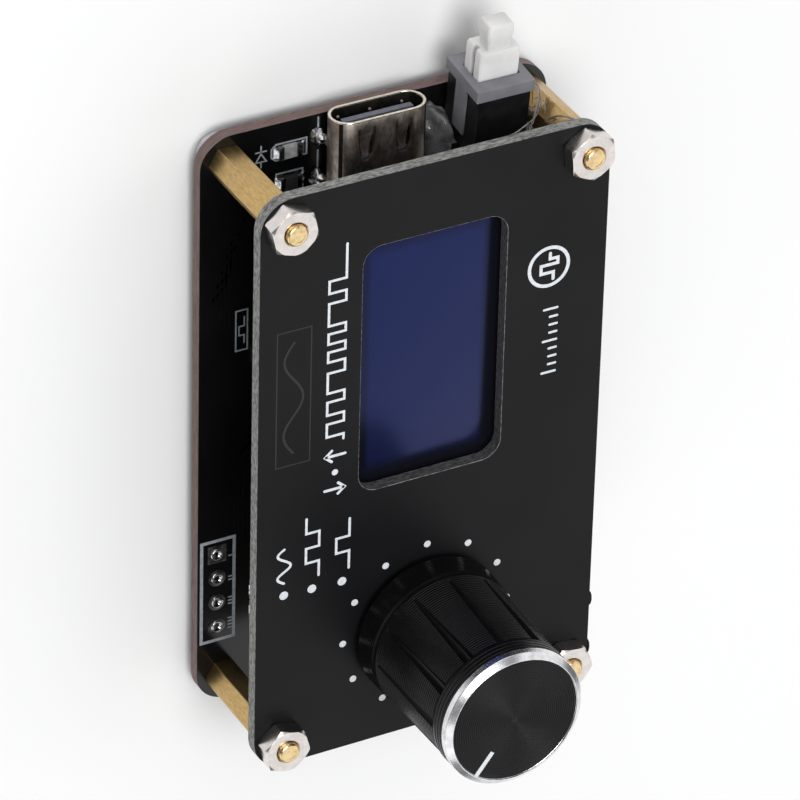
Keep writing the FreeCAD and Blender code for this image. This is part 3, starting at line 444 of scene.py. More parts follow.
# light and dark colour, then grain, roughness and relief in that order or by name, and what else differs
DULL = {
    "panel_mask": ((0.0062, 0.0062, 0.0072), (0.0048, 0.0048, 0.0056), 0.12, (0.42, 0.50), (0.0012, 9.0),
                   dict(specular=0.17, speck=(0.55, (0.05, 0.05, 0.055), 0.045))),
    "board_mask": ((0.0055, 0.0055, 0.0062), (0.0035, 0.0035, 0.0040), 0.2, (0.16, 0.26), (0.0015, 5.0),
                   dict(specular=0.45, speck=(0.7, (0.03, 0.03, 0.03), 0.04))),
    # the panel's cut edge colour, which also serves as a painted highlight on the window's bevelled rims
    "panel_edge": ((0.30, 0.30, 0.285), (0.075, 0.077, 0.073), CUT_GLASS),
    # the window's wall: a darker copy of the panel's edge colour, painted shade in the recess
    "window_wall_shade": ((0.105, 0.105, 0.108), (0.022, 0.022, 0.023), CUT_GLASS),
    "board_edge": ((0.200, 0.130, 0.118), (0.098, 0.058, 0.054), (1.0, 1.0, 8.0), (0.5, 0.75),
                   (0.02, (2.5, 2.5, 9.0)), dict(contrast=(0.3, 0.7))),
    "white_ink": ((0.72, 0.75, 0.78), (0.55, 0.58, 0.62), dict(INK, contrast=(0.25, 0.6))),
    "grey_ink": ((0.36, 0.40, 0.43), (0.24, 0.27, 0.30), dict(INK, contrast=(0.3, 0.6))),
    # the tongue's grey is lightened so that it reads lit in the shaded mouth: painted light
    "tongue_lit_grey": ((0.150, 0.155, 0.200), (0.110, 0.115, 0.155), 1.5, (0.35, 0.5), (0.004, 6.0)),
    "black_moulding": ((0.010, 0.010, 0.011), (0.005, 0.005, 0.006), 1.2, (0.24, 0.42), (0.006, 7.0),
                       dict(specular=0.35)),
    "grey_moulding": ((0.190, 0.190, 0.210), (0.160, 0.160, 0.178), 0.7, (0.42, 0.56), (0.006, 6.0)),
    "white_moulding": ((0.70, 0.695, 0.69), (0.63, 0.625, 0.62), 0.6, (0.34, 0.46), (0.004, 4.0),
                       dict(sub=0.3)),
    "display_glass": ((0.0078, 0.0108, 0.043), (0.0062, 0.0088, 0.036), 0.05, (0.18, 0.24), (0.0002, 1.5),
                      dict(specular=0.62, speck=(0.42, (0.09, 0.10, 0.16), 0.022))),
    "glass_edge": ((0.05, 0.07, 0.09), (0.02, 0.03, 0.04), 0.8, (0.08, 0.2), (0.002, 5.0), dict(coat=0.3)),
    "knob_black": ((0.0050, 0.0050, 0.0053), (0.0032, 0.0032, 0.0035), 0.5, (0.20, 0.30),
                   (0.001, (2.0, 2.0, 9.0)), dict(specular=0.19)),
    "cap_black": ((0.0085, 0.0085, 0.0094), (0.0062, 0.0062, 0.0069), 0.3, (0.24, 0.32), (0.001, 6.0),
                  dict(specular=0.20)),
    "chip_moulding": ((0.030, 0.030, 0.032), (0.018, 0.018, 0.020), 4.0, (0.5, 0.65), (0.008, 12.0)),
    "ceramic": ((0.46, 0.33, 0.21), (0.36, 0.25, 0.15), 2.0, (0.4, 0.55), (0.006, 7.0)),
    "lamp_lens": ((0.42, 0.43, 0.42), (0.24, 0.25, 0.25), 1.4, (0.15, 0.3), (0.004, 5.0), dict(coat=0.5)),
    "glue_clear": ((0.82, 0.82, 0.85), (0.32, 0.32, 0.33), 0.5, (0.06, 0.24), (0.05, 0.9),
                   dict(transmission=0.75, ior=1.48, contrast=(0.45, 0.66), coat=0.4)),
    "glue_thread": ((0.56, 0.53, 0.53), (0.36, 0.34, 0.34), 0.7, (0.05, 0.14), (0.01, 1.5),
                    dict(transmission=0.9, ior=1.48)),
    "floor_paint": ((0.86, 0.86, 0.86), (0.84, 0.84, 0.84), 0.01, (0.8, 0.9), dict(specular=0.2)),
}
METAL = {
    "brass": ((0.62, 0.43, 0.185), (0.46, 0.305, 0.125), (6.0, 6.0, 1.6), (0.30, 0.42),
              (0.0014, (16.0, 16.0, 3.0)), dict(contrast=(0.30, 0.66))),
    # a paler copy of the brass for the studs' ends: painted highlight
    "stud_highlight_brass": ((0.88, 0.68, 0.38), (0.66, 0.47, 0.22), 2.2, (0.16, 0.30), (0.0012, 9.0),
                   dict(contrast=(0.3, 0.62))),
    "nickel": ((0.78, 0.73, 0.70), (0.68, 0.635, 0.61), 1.4, (0.18, 0.28), (0.0012, 6.0)),
    "screw_steel": ((0.66, 0.66, 0.68), (0.48, 0.48, 0.50), 1.1, (0.2, 0.36), (0.004, 6.0)),
    "socket_steel": ((0.52, 0.46, 0.41), (0.33, 0.27, 0.235), (3.0, 1.6, 3.0), (0.36, 0.50),
                     (0.004, (11.0, 6.0, 11.0))),
    # the socket's inside: a near-black copy of the steel, painted shade in the mouth
    "socket_inside_shade": ((0.030, 0.027, 0.025), (0.014, 0.012, 0.011), 1.5, (0.5, 0.7), (0.003, 6.0)),
    # the socket's rim: a paler, smoother copy of the steel, a painted highlight
    "socket_rim_highlight_steel": ((0.86, 0.80, 0.70), (0.66, 0.60, 0.50), 2.5, (0.18, 0.32), (0.004, 8.0)),
    "gold": ((0.40, 0.29, 0.12), (0.28, 0.19, 0.07), 2.0, (0.2, 0.35), (0.002, 9.0)),
    "tin": ((0.80, 0.80, 0.82), (0.52, 0.52, 0.54), 1.6, (0.07, 0.22), (0.006, 2.4)),
    # tin with near-black patches, partly pits and partly a painted reflection of the black board
    "lump_tin_painted_reflection": ((0.66, 0.66, 0.68), (0.10, 0.10, 0.105), 2.6, (0.10, 0.26), (0.030, 2.6),
                 dict(contrast=(0.40, 0.60))),
    # tin with dark patches, partly pits and partly a painted reflection of the dark board
    "end_tin_painted_reflection": ((0.74, 0.74, 0.76), (0.20, 0.20, 0.21), 3.2, (0.14, 0.30), (0.022, 4.2),
                dict(contrast=(0.36, 0.60))),
    "flat_tin": ((0.62, 0.61, 0.60), (0.40, 0.39, 0.38), 3.0, (0.25, 0.45), (0.006, 8.0)),
    # a dark grey tin for the header's pads, much darker than the fill
    "dark_pad_tin": ((0.20, 0.20, 0.21), (0.09, 0.09, 0.095), 3.0, (0.3, 0.5), (0.006, 8.0)),
    "zinc": ((0.62, 0.62, 0.62), (0.48, 0.48, 0.48), 1.3, (0.34, 0.5), (0.01, 5.0)),
    "spring_steel": ((0.60, 0.60, 0.61), (0.46, 0.46, 0.47), (0.5, 4.0, 4.0), (0.22, 0.36),
                     (0.003, (1.0, 9.0, 9.0))),
    "knob_chrome": ((0.88, 0.88, 0.89), (0.66, 0.66, 0.69), 1.2, (0.18, 0.28), (0.006, 4.0)),
}


finished = {}


def finish(name):
    """The material of that name, made the first time that it is asked for."""
    if name not in finished:
        *values, last = METAL.get(name) or DULL[name]
        named = dict(last) if isinstance(last, dict) else {}
        if not named:
            values.append(last)
        if name in METAL:
            named["metallic"] = 1.0
        finished[name] = grain_material(name, *values, **named)
    return finished[name]


def display_material():
    """Dark blue where the picture forms, and near black round it."""
    nodes, links = finish("display_glass").node_tree.nodes, finish("display_glass").node_tree.links
    shader = nodes["Principled BSDF"]
    shader.inputs["Specular Tint"].default_value = (0.19, 0.27, 0.95, 1)
    blue = shader.inputs["Base Color"].links[0].from_socket
    middle = middle_of(box_mm("display_glass"))
    place, split = nodes.new("ShaderNodeTexCoord"), nodes.new("ShaderNodeSeparateXYZ")
    links.new(place.outputs["Object"], split.inputs["Vector"])

    def worked(operation, first, second):
        """The result of a sum on a socket and a number or another socket."""
        made = nodes.new("ShaderNodeMath")
        made.operation = operation
        links.new(first, made.inputs[0])
        if isinstance(second, float):
            made.inputs[1].default_value = second
        else:
            links.new(second, made.inputs[1])
        return made.outputs[0]

    shares = []
    picture = (("X", middle.x, PICTURE_WIDE / 2, 0.22), ("Y", middle.y, PICTURE_LONG / 2, 0.60))
    for axis, centre, reach, soft in picture:
        size = nodes.new("ShaderNodeMath")
        size.operation = "ABSOLUTE"
        links.new(worked("SUBTRACT", split.outputs[axis], centre * MM), size.inputs[0])
        inside = nodes.new("ShaderNodeMapRange")
        inside.inputs["From Min"].default_value = (reach + soft) * MM
        inside.inputs["From Max"].default_value = (reach - soft) * MM
        links.new(size.outputs[0], inside.inputs["Value"])
        shares.append(inside.outputs["Result"])
    over = nodes.new("ShaderNodeMix")
    over.data_type = "RGBA"
    over.inputs["A"].default_value = (0.0045, 0.0045, 0.0062, 1)
    links.new(worked("MULTIPLY", *shares), over.inputs["Factor"])
    links.new(blue, over.inputs["B"])
    links.new(over.outputs["Result"], shader.inputs["Base Color"])


# ---- the two boards ----

BOARD_BEVEL = 0.045
NUB_PLACES = (-25.55, -20.4)                 # the stubs of broken tabs, from the boards' middle
NUB_SHAPE = ((-0.75, 0.0), (-0.62, 0.16), (-0.2, 0.25), (0.25, 0.22), (0.6, 0.12), (0.75, 0.0))
WINDOW_HALF, WINDOW_LOW, WINDOW_HIGH = 6.85, -2.45, 21.95
WINDOW_CORNER = 1.8
BUSH_HOLE = 3.8


def board_outline(nubs=()):
    """The rounded outline, with the stubs standing proud on the right edge."""
    stubs = [(HALF_WIDE + proud, MID + nub + step) for nub in nubs for step, proud in NUB_SHAPE]
    return rounded_points(-HALF_WIDE, board_low.y, HALF_WIDE, board_high.y, CORNER) + stubs


def fastener_holes():
    return [circle_points(hole.x, hole.y, HOLE_RADIUS, 28) for hole in HOLES]


def front_panel():
    mesh = bmesh.new()
    window = rounded_points(-WINDOW_HALF, WINDOW_LOW + MID, WINDOW_HALF, WINDOW_HIGH + MID, WINDOW_CORNER)
    bush = circle_points(KNOB.x, KNOB.y, BUSH_HOLE, 48)
    add_plate(mesh, [board_outline(NUB_PLACES), window, *fastener_holes(), bush], panel_low.z, panel_high.z,
              BOARD_BEVEL)
    made = piece("panel_board", mesh, ["panel_mask", "panel_edge", "window_wall_shade"], "frame",
                 ["front_panel"], sharp=18, edge_index=1)
    # the window's own wall gets a darker copy of the edge colour as painted shade, and its bevelled rims get
    # the lighter edge colour as a painted highlight
    middle = MID + (WINDOW_LOW + WINDOW_HIGH) / 2
    reach_x, reach_y = WINDOW_HALF + 0.03, (WINDOW_HIGH - WINDOW_LOW) / 2 + 0.03
    for face in made.data.polygons:
        place = face.center / MM
        if abs(place.x) < reach_x and abs(place.y - middle) < reach_y:
            upright = abs(face.normal.z)
            face.material_index = 2 if upright < 0.5 else 1 if upright < 0.98 else 0


def main_board():
    mesh = bmesh.new()
    add_plate(mesh, [board_outline()] + fastener_holes(), BACK, MAIN, BOARD_BEVEL)
    piece("circuit_board", mesh, ["board_mask", "board_edge"], "frame", ["main_board"],
          sharp=18, edge_index=1)


def sine_line(start, end, high, x, steps=24):
    """One and a half waves drawn up the panel: their height stands along X."""
    shares = [i / steps for i in range(steps + 1)]
    return [(x - high / 2 * sin(3 * pi * share), start + (end - start) * share) for share in shares]


def step_line(start, end, high, x, shares):
    """A line that goes up the panel and steps from side to side at each share of its length."""
    points = []
    for number, (first, second) in enumerate(zip(shares, shares[1:])):
        side = x + high / 2 * (-1) ** number
        points += [(side, start + (end - start) * first), (side, start + (end - start) * second)]
    return points


def arrow(x, y, toward, long=1.9, wide=0.26):
    """An arrow across the panel, pointing left for -1 and right for 1."""
    tip = x + toward * long / 2
    return [stroke([(x - toward * long / 2, y), (tip - toward * 0.1, y)], wide),
            stroke([(tip - toward * 0.62, y - 0.55), (tip, y), (tip - toward * 0.62, y + 0.55)], wide)]


def panel_marks():
    """White print: a ring of dots, trigger arrows and waveforms, and a small emblem of a pulse."""
    line, dot_ring, wave_high = 0.23, 8.05, 1.25
    drawings = [[circle_points(*place, 0.33, 20)] for place in circle_points(KNOB.x, KNOB.y, dot_ring, 12)]
    # the column beside the window: falling and rising edge arrows, then a train of pulses
    column = -9.15
    drawings += arrow(column, -1.25, 1) + arrow(column, 2.15, -1) + [dot(column, 0.45, 0.3, 16)]
    top, bottom, y = column - 0.85, column + 0.75, 4.2
    train = [(bottom, 3.7)]
    for on, off in ((1.3, 0.9), (1.3, 0.9), (2.0, 1.1), (1.0, 0.8), (1.0, 0.8), (2.2, 1.0), (1.2, 0.9)):
        train += [(bottom, y), (top, y), (top, y + on), (bottom, y + on)]
        y += on + off
    drawings.append(stroke(train + [(bottom, 23.0)], line))
    # the three trigger modes, as a mark and a waveform each
    for x, low, high, shares in ((-13.85, -11.3, -6.1, ()), (-11.15, -11.4, -3.6, (0, 0.25, 0.5, 0.75, 1)),
                                 (-8.25, -11.5, -4.7, (0, 0.35, 0.65, 1))):
        span = (low + 1.7, high, wave_high, x)
        wave = step_line(*span, shares) if shares else sine_line(*span)
        drawings += [dot(x, low + 0.45, 0.42), stroke(wave, line)]
    # the emblem: a ring that holds one pulse, and a scale of ticks under it
    emblem_x, emblem_y = 10.95, 15.5
    drawings.append(dot(emblem_x, emblem_y, 2.05, 48) + dot(emblem_x, emblem_y, 1.72, 48))
    pulse = ((0.45, -1.3), (0.45, -0.6), (-0.75, -0.6), (-0.75, 0.2), (0.85, 0.2), (0.85, 0.75), (0.1, 0.75),
             (0.1, 1.3))
    drawings.append(stroke([(emblem_x + x, emblem_y + y) for x, y in pulse], 0.3))
    scale_x, scale_y = 11.95, 4.8
    for step in range(9):
        y, long = scale_y + step * 0.8, 1.3 if step % 4 == 0 else 0.7
        drawings.append(stroke([(scale_x, y), (scale_x - long, y)], 0.22))
    mesh = bmesh.new()
    add_print(mesh, drawings, FACE)
    piece("panel_marks", mesh, ["white_ink"], "frame")

    # a frame and a waveform that show only as relief under the mask
    low_x, high_x, low_y, high_y = -14.8, -11.6, 2.4, 15.8
    relief = [stroke(corners_of(low_x, low_y, high_x, high_y), 0.13, closed=True),
              stroke(sine_line(low_y + 1.2, high_y - 1.2, 1.8, (low_x + high_x) / 2, 40), 0.22)]
    ghost = bmesh.new()
    add_print(ghost, relief, FACE, 0.015)
    piece("panel_relief", ghost, ["board_mask"], "frame")


def front_traces():
    """Routes on the main board's front, and the ends that have a via."""
    routes, vias = [], []
    for i in range(4):        # from the serial header to the controller
        y, x, turn = HEADER_FIRST - PITCH * i, -12.9 + 0.45 * i, -2.5 - 0.45 * (3 - i)
        routes.append([(-13.9, y), (x, y + x + 13.9), (x, turn), (x + 3.0, turn + 3.0), (-5.3, turn + 3.0)])
    for i in range(6):        # along the left edge towards the socket
        x, low, high = -15.6 + 0.42 * i, -6.0 + 0.8 * i, 12.5 + 1.3 * i
        routes.append([(x, low), (x, high), (x + 1.6, high + 1.6), (x + 1.6, high + 3.0)])
        vias += [routes[-1][0], routes[-1][-1]]
    for i in range(5):        # from the socket to the controller
        x, end = -4.2 + 0.5 * i, -6.4 + 0.2 * i
        routes.append([(x, 20.0), (x, 17.0 + 0.5 * i), (end, 14.6), (end, 11.8)])
    for i in range(5):        # from the switch down the right edge
        x, end = 6.9 + 0.5 * i, 12.4 - 0.4 * i
        routes.append([(x, 19.8), (x, 6.5), (end, 1.0), (end, -6.8 - 0.5 * i)])
        vias.append(routes[-1][-1])
    return routes, vias


def rear_traces():
    """Routes on the main board's back, and the ends that have a via."""
    routes, vias = [], []
    for i in range(7):
        x = -12.6 + 1.05 * i
        routes.append([(x, 18.5), (x, 7.0 + 0.8 * i), (x + 2.2, 4.8 + 0.8 * i), (x + 2.2, -8.5 + 0.6 * i)])
    for i in range(6):
        x = 4.8 + 1.1 * i
        routes.append([(x, 19.5 - 1.0 * i), (x, 3.0), (x - 1.8, 1.2), (x - 1.8, -9.0)])
    for route in routes:
        vias += [route[0], route[-1]]
    for i in range(4):
        routes.append([(-13.4, HEADER_FIRST - PITCH * i), (-9.2, HEADER_FIRST - PITCH * i)])
        vias.append(routes[-1][-1])
    return routes, vias


def copper():
    """Traces under the mask of both faces, as low ridges, and the vias between them."""
    (front, front_vias), (rear, rear_vias) = front_traces(), rear_traces()
    ridges = bmesh.new()
    for route in front:
        add_plate(ridges, stroke(route, 0.22), MAIN, MAIN + 0.012)
    for route in rear:
        add_plate(ridges, stroke(route, 0.26), BACK - 0.015, BACK)
    piece("board_traces", ridges, ["board_mask"], "frame")
    chooser = random.Random(7)
    strays = [(chooser.uniform(-15.2, 15.2), chooser.uniform(-11, 19)) for _ in range(26)]
    rings = bmesh.new()
    for x, y in front_vias + rear_vias + strays:
        for low, high in ((MAIN, MAIN + 0.016), (BACK - 0.02, BACK)):
            add_plate(rings, dot(x, y, 0.3, 16) + dot(x, y, 0.14, 12), low, high)
    piece("board_vias", rings, ["board_mask"], "frame")


def board_marks():
    """Print on the main board's front: outlines round the parts and the header, and plain signs."""
    drawings = [stroke(corners_of(-16.1, -22.35, -12.95, -11.85), 0.3, closed=True)]
    # the lamp's outline, rounded at its cathode end, and a diode sign beside it
    lamp = middle_of(box_mm("status_led"))
    outline = ((1.68, -0.78), (1.68, 0.78), (-1.2, 0.78), (-1.62, 0.4), (-1.62, -0.4), (-1.2, -0.78))
    drawings.append(ribbon([(lamp.x + x, lamp.y + y) for x, y in outline], 0.15, closed=True))
    sign_x = -10.8
    diode = (((-0.5, -0.55), (0.5, -0.55), (0, 0.25)), ((-0.5, 0.42), (0.5, 0.42)), ((0, 0.42), (0, 1.0)),
             ((0, -0.62), (0, -1.1)))
    for points in diode:
        drawings.append(ribbon([(sign_x + x, lamp.y + y) for x, y in points], 0.13, closed=len(points) == 3))
    # brackets round the resistors
    for low, high in solids("resistors"):
        if low.x > -12.5 and high.x < 16:
            drawings.append(ribbon(corners_of(low.x - 0.7, low.y - 0.3, high.x + 0.7, high.y + 0.3), 0.15,
                                   closed=True))
    # the socket's side lines, broken at its solder
    socket_x = middle_of(box_mm("usb_shell")).x
    for x in (socket_x - 4.7, socket_x + 4.7):
        for low, high in ((27.5, 28.4), (23.6, 25.2)):
            drawings.append(stroke([(x, low), (x, high)], 0.16))
    # a screen sign near the display, and one to four ticks beside the header's holes
    near, far = -12.2, -12.7
    drawings.append(stroke(corners_of(-13.0, 7.2, -11.9, 11.2), 0.14, closed=True))
    sign = [(near, 7.9), (near, 8.7), (far, 8.7), (far, 9.6), (near, 9.6), (near, 10.5)]
    drawings.append(stroke(sign, 0.13))
    for i in range(4):
        for tick in range(i + 1):
            y = HEADER_FIRST - PITCH * i - 0.5 + 0.34 * tick
            drawings.append(stroke([(-13.45, y), (-13.12, y)], 0.14))
    mesh = bmesh.new()
    add_print(mesh, drawings, MAIN)
    piece("board_marks", mesh, ["grey_ink"], "frame")


# ---- fasteners ----

NUT_TURNS = (16, 22, 5, 13)                  # how far each nut was left turned, in degrees
NUT_HALF = 2.0                               # half a nut's width across its flats
STUD_RADIUS = 0.97
SCREW_RADIUS, SCREW_TALL = 1.9, 1.28
# a stud's end from its edge to its middle, as radius and depth under its top
STUD_END = ((0.95, 0.1), (0.86, 0.01), (0.82, 0), (0.62, 0), (0.58, 0.02), (0.42, 0.02), (0.38, 0.005),
            (0.2, 0.03), (0.0, 0.03))


def hexagon_points(x, y, across, turn):
    """A hexagon whose corners are just cut off."""
    corner = across / sqrt(3) * 0.985
    return [polar(x, y, corner, turn + radians(60 * i + side)) for i in range(6) for side in (-1.5, 1.5)]


def corner_angle(node, place):
    """The direction of a corner of the hexagonal bar that stands at a place."""
    points = min(islands(node), key=lambda cloud: (middle_of(extent(cloud)) - place).xy.length)
    far = max(points, key=lambda point: (point - place).xy.length)
    return atan2(far.y - place.y, far.x - place.x)


def standoffs():
    """Hexagonal brass pillars with turned ends, and a threaded stud through the panel."""
    top = box_mm("standoffs")[1].z
    bars, studs = bmesh.new(), bmesh.new()
    for hole in HOLES:
        turn = corner_angle("standoffs", hole)
        add_plate(bars, [hexagon_points(hole.x, hole.y, 3.0, turn), circle_points(hole.x, hole.y, 0.9, 24)],
                  MAIN, panel_low.z, 0.09)
        height = panel_low.z
        profile = [(0.0, height - 0.4), (STUD_RADIUS, height - 0.4)]
        while height < top - 0.45:
            profile += [(STUD_RADIUS, height + 0.08), (0.86, height + 0.2), (STUD_RADIUS, height + 0.32)]
            height += 0.4
        profile.append((STUD_RADIUS, height + 0.1))
        profile += [(radius, top - down) for radius, down in STUD_END]
        lathe(studs, profile, hole.x, hole.y, 32)
    piece("standoff_bars", bars, ["brass"], "frame", ["standoffs"], sharp=25)
    # the studs take the paler brass as a painted highlight
    piece("standoff_studs", studs, ["stud_highlight_brass"], "frame")


def nut_points(where, inward, segments=72):
    """Radius and height of the points round one end of a nut, on its flat face or on its cone's edge."""
    points = []
    for i in range(segments):
        flat = (2 * pi * i / segments + radians(30)) % radians(60) - radians(30)
        reach = min(NUT_HALF / cos(flat), NUT_HALF / cos(radians(30)) - 0.02)
        drop = 0.04 + max(0.0, reach - 2.03) * tan(radians(32))
        points.append((reach, inward * drop) if where == "side" else (min(reach - 0.05, 2.01), 0.0))
    return points


def nuts():
    """Hexagonal nuts whose corners are turned off by a cone at both ends."""
    low, high = box_mm("front_nuts")
    bore = 1.02
    mesh = bmesh.new()
    for hole, turn in zip(HOLES, NUT_TURNS):
        rings = []
        for where, height, inward in ((bore, low.z + 0.10, 0), (bore + 0.12, low.z, 0), ("face", low.z, 1),
                                      ("side", low.z, 1), ("side", high.z, -1), ("face", high.z, -1),
                                      (bore + 0.12, high.z, 0), (bore, high.z - 0.10, 0)):
            points = nut_points(where, inward) if isinstance(where, str) else [(where, 0.0)] * 72
            angles = (2 * pi * i / len(points) + radians(turn) for i in range(len(points)))
            rings.append([mesh.verts.new((*polar(hole.x, hole.y, reach, angle), height + drop))
                          for angle, (reach, drop) in zip(angles, points)])
        join_rings(mesh, rings, closed=True)
    piece("nut_bodies", mesh, ["nickel"], "frame", ["front_nuts"], sharp=22)


def screws():
    """Pan heads with a cross recess, on the back."""
    mesh, cutter = bmesh.new(), bmesh.new()
    round_over = 0.55
    profile = [(0.0, 0.0)]
    for angle in (radians(10 * step) for step in range(9)):
        profile.append((SCREW_RADIUS - round_over * (1 - sin(angle)), round_over * (1 - cos(angle))))
    profile += [(SCREW_RADIUS, 1.2), (SCREW_RADIUS - 0.04, SCREW_TALL), (0.0, SCREW_TALL)]
    for hole in HOLES:
        lathe(mesh, profile, hole.x, hole.y, 56)
        for turn in (0, 90):
            part = bmesh.new()
            rings = [level(part, corners_of(-long / 2, -wide / 2, long / 2, wide / 2), z)
                     for long, wide, z in ((2.3, 0.62, -0.05), (2.05, 0.52, 0.15), (1.1, 0.42, 0.75))]
            join_rings(part, rings, capped=True)
            turned = Matrix.Rotation(radians(turn), 4, "Z")
            take_in(cutter, part, Matrix.Translation((hole.x, hole.y, 0)) @ turned)
    heads = piece("screw_heads", mesh, ["screw_steel"], "frame", ["rear_screws"])
    carve(heads, piece("recess_tool", cutter, ["screw_steel"], "frame"))


# ---- display ----

def display():
    low, high = box_mm("display_glass")
    film_thick = 0.2
    glass, film = bmesh.new(), bmesh.new()
    add_box(glass, low, (high.x, high.y, high.z - film_thick), 0.06)
    piece("display_substrate", glass, ["glass_edge"], "frame")
    display_material()
    add_box(film, (low.x + 0.5, low.y + 0.4, high.z - film_thick), (high.x - 0.5, high.y - 2.0, high.z), 0.03)
    piece("display_film", film, ["display_glass"], "frame", ["display_glass"])
    dress("display_carrier", "board_mask", 0.04)
    dress("display_pins", "gold", 0.05)
    dress("display_pin_spacer", "black_moulding", 0.08)


# ---- USB-C socket ----

SHELL_TALL, SHELL_WALL = 3.26, 0.3
TAB_PLACES = (2.5, 6.5)                      # the shell's tabs, back from its mouth
LATCH_X = 1.75                               # the latch springs, each side of the middle
TONGUE_HALF = 3.325


def stadium_points(wide, high, middle, count=14):
    """The socket's section in X and Z."""
    radius = high / 2
    points = []
    for side, start in ((1, -90), (-1, 90)):
        for step in range(count + 1):
            angle = radians(start + 180 * step / count)
            points.append((middle.x + side * (wide / 2 - radius) + radius * cos(angle),
                           middle.z + radius * sin(angle)))
    return points


def along_y(outlines, back, front, bevel=0.0):
    """A plate whose outlines are in X and Z, thick from back to front along Y."""
    part = bmesh.new()
    add_plate(part, outlines, back, front, bevel)
    for vert in part.verts:
        vert.co = Vector((vert.co.x, vert.co.z, vert.co.y))
    return part


def usb_shell(low, high, middle):
    """The drawn steel shell with its latch windows, a near-black inside as painted shade, and a rim in a
    paler copy of the steel as a painted highlight.
    """
    wide, top = high.x - low.x, MAIN + SHELL_TALL
    outer = stadium_points(wide, SHELL_TALL, middle)
    inner = stadium_points(wide - 2 * SHELL_WALL, SHELL_TALL - 2 * SHELL_WALL, middle)
    shell = along_y([outer, inner], low.y, high.y - 0.12, 0.02)
    for x in (low.x + SHELL_WALL / 2, high.x - SHELL_WALL / 2):
        for back in TAB_PLACES:
            add_box(shell, (x - 0.15, high.y - back - 0.45, BACK - 0.7),
                    (x + 0.15, high.y - back + 0.45, MAIN + 1.4), 0.04)
    made = piece("usb_shell_body", shell, ["socket_steel", "socket_inside_shade"], "frame",
                 ["usb_shell"])
    cutter = bmesh.new()
    latch = ((-0.84, 0), (0.84, 0), (0.80, 1.2), (0.66, 2.3), (0.50, 2.95), (0.24, 3.2), (-0.24, 3.2),
             (-0.50, 2.95), (-0.66, 2.3), (-0.80, 1.2))
    for x in (middle.x - LATCH_X, middle.x + LATCH_X):
        outline = [(x + across, high.y - 0.75 - back) for across, back in latch]
        add_plate(cutter, [outline], top - 0.8, top + 0.4)
    carve(made, piece("latch_tool", cutter, ["socket_steel"], "frame"))
    # faces inside the mouth take the near-black steel: painted shade
    for face in made.data.polygons:
        place = face.center / MM - middle
        if (abs(place.x) < wide / 2 - SHELL_WALL + 0.03
                and abs(place.z) < SHELL_TALL / 2 - SHELL_WALL + 0.03):
            face.material_index = 1
    # the rim takes the paler steel as a painted highlight
    rim_inner = stadium_points(wide - 2 * SHELL_WALL + 0.06, SHELL_TALL - 2 * SHELL_WALL + 0.06, middle)
    rim = along_y([outer, rim_inner], high.y - 0.14, high.y, 0.05)
    piece("usb_shell_rim", rim, ["socket_rim_highlight_steel"], "frame")


def usb_springs(low, high, middle):
    """The two bent latch springs, and three small dimples pressed into the wall beside the board."""
    springs = bmesh.new()
    section = ((-1.0, 0.05), (-0.8, 0.0), (0.8, 0.0), (1.0, 0.05), (1.0, 0.22), (-1.0, 0.22))
    bend = ((-0.02, 0.60, 0.02), (0.45, 0.60, 0.02), (0.75, 0.58, 0.10), (1.05, 0.55, 0.26),
            (1.9, 0.47, 0.38), (2.5, 0.34, 0.32), (2.85, 0.26, 0.22))
    for x in (middle.x - LATCH_X, middle.x + LATCH_X):
        rings = [[springs.verts.new((x + share * half, high.y - 0.72 - back, MAIN + SHELL_TALL - drop - sink))
                  for share, sink in section] for back, half, drop in bend]
        join_rings(springs, rings, capped=True)
    dimple = [(0.0, 0.52), (0.10, 0.49), (0.17, 0.40), (0.2, 0.28), (0.0, 0.28)]
    for share in (-0.34, 0.0, 0.34):
        lathe(springs, [(radius, MAIN + up) for radius, up in dimple], middle.x + share * (high.x - low.x),
              high.y - 0.95, 16)
    piece("usb_springs", springs, ["socket_steel"], "frame")


def usb_socket():
    low, high = box_mm("usb_shell")
    middle = Vector(((low.x + high.x) / 2, 0, MAIN + SHELL_TALL / 2))
    usb_shell(low, high, middle)
    usb_springs(low, high, middle)
    back, front = (corner.y for corner in box_mm("usb_tongue"))
    tongue = bmesh.new()
    plug = stadium_points(high.x - low.x - 2 * SHELL_WALL - 0.04, SHELL_TALL - 2 * SHELL_WALL - 0.04, middle)
    take_in(tongue, along_y([plug], back, back + 2.2, 0.04))
    for near, far, half, bevel in ((back + 2.1, back + 3.2, 0.75, 0.08), (back + 3.0, front, 0.35, 0.12)):
        add_box(tongue, (middle.x - TONGUE_HALF, near, middle.z - half),
                (middle.x + TONGUE_HALF, far, middle.z + half), bevel)
    # the tongue's lightened grey stands in for light inside the shaded mouth
    piece("usb_tongue_bar", tongue, ["tongue_lit_grey"], "frame", ["usb_tongue"])
    dress("usb_contacts", "gold")
    dress("usb_leads", "flat_tin", 0.03)


def blob(mesh, x, y, radius, tall, seed, foot):
    """Set solder: a smooth dome, a little uneven, that stands on a face."""
    dome = bmesh.ops.create_icosphere(mesh, subdivisions=4, radius=1.0)["verts"]
    for vert in dome:
        spread = radius * (1.0 + 0.18 * max(0.0, 0.35 - abs(vert.co.z)) / 0.35)
        vert.co = Vector((x + vert.co.x * spread, y + vert.co.y * spread, foot + vert.co.z * tall))
    lumpy(dome, 0.09, seed)
    for vert in dome:
        vert.co.z = max(vert.co.z, foot)


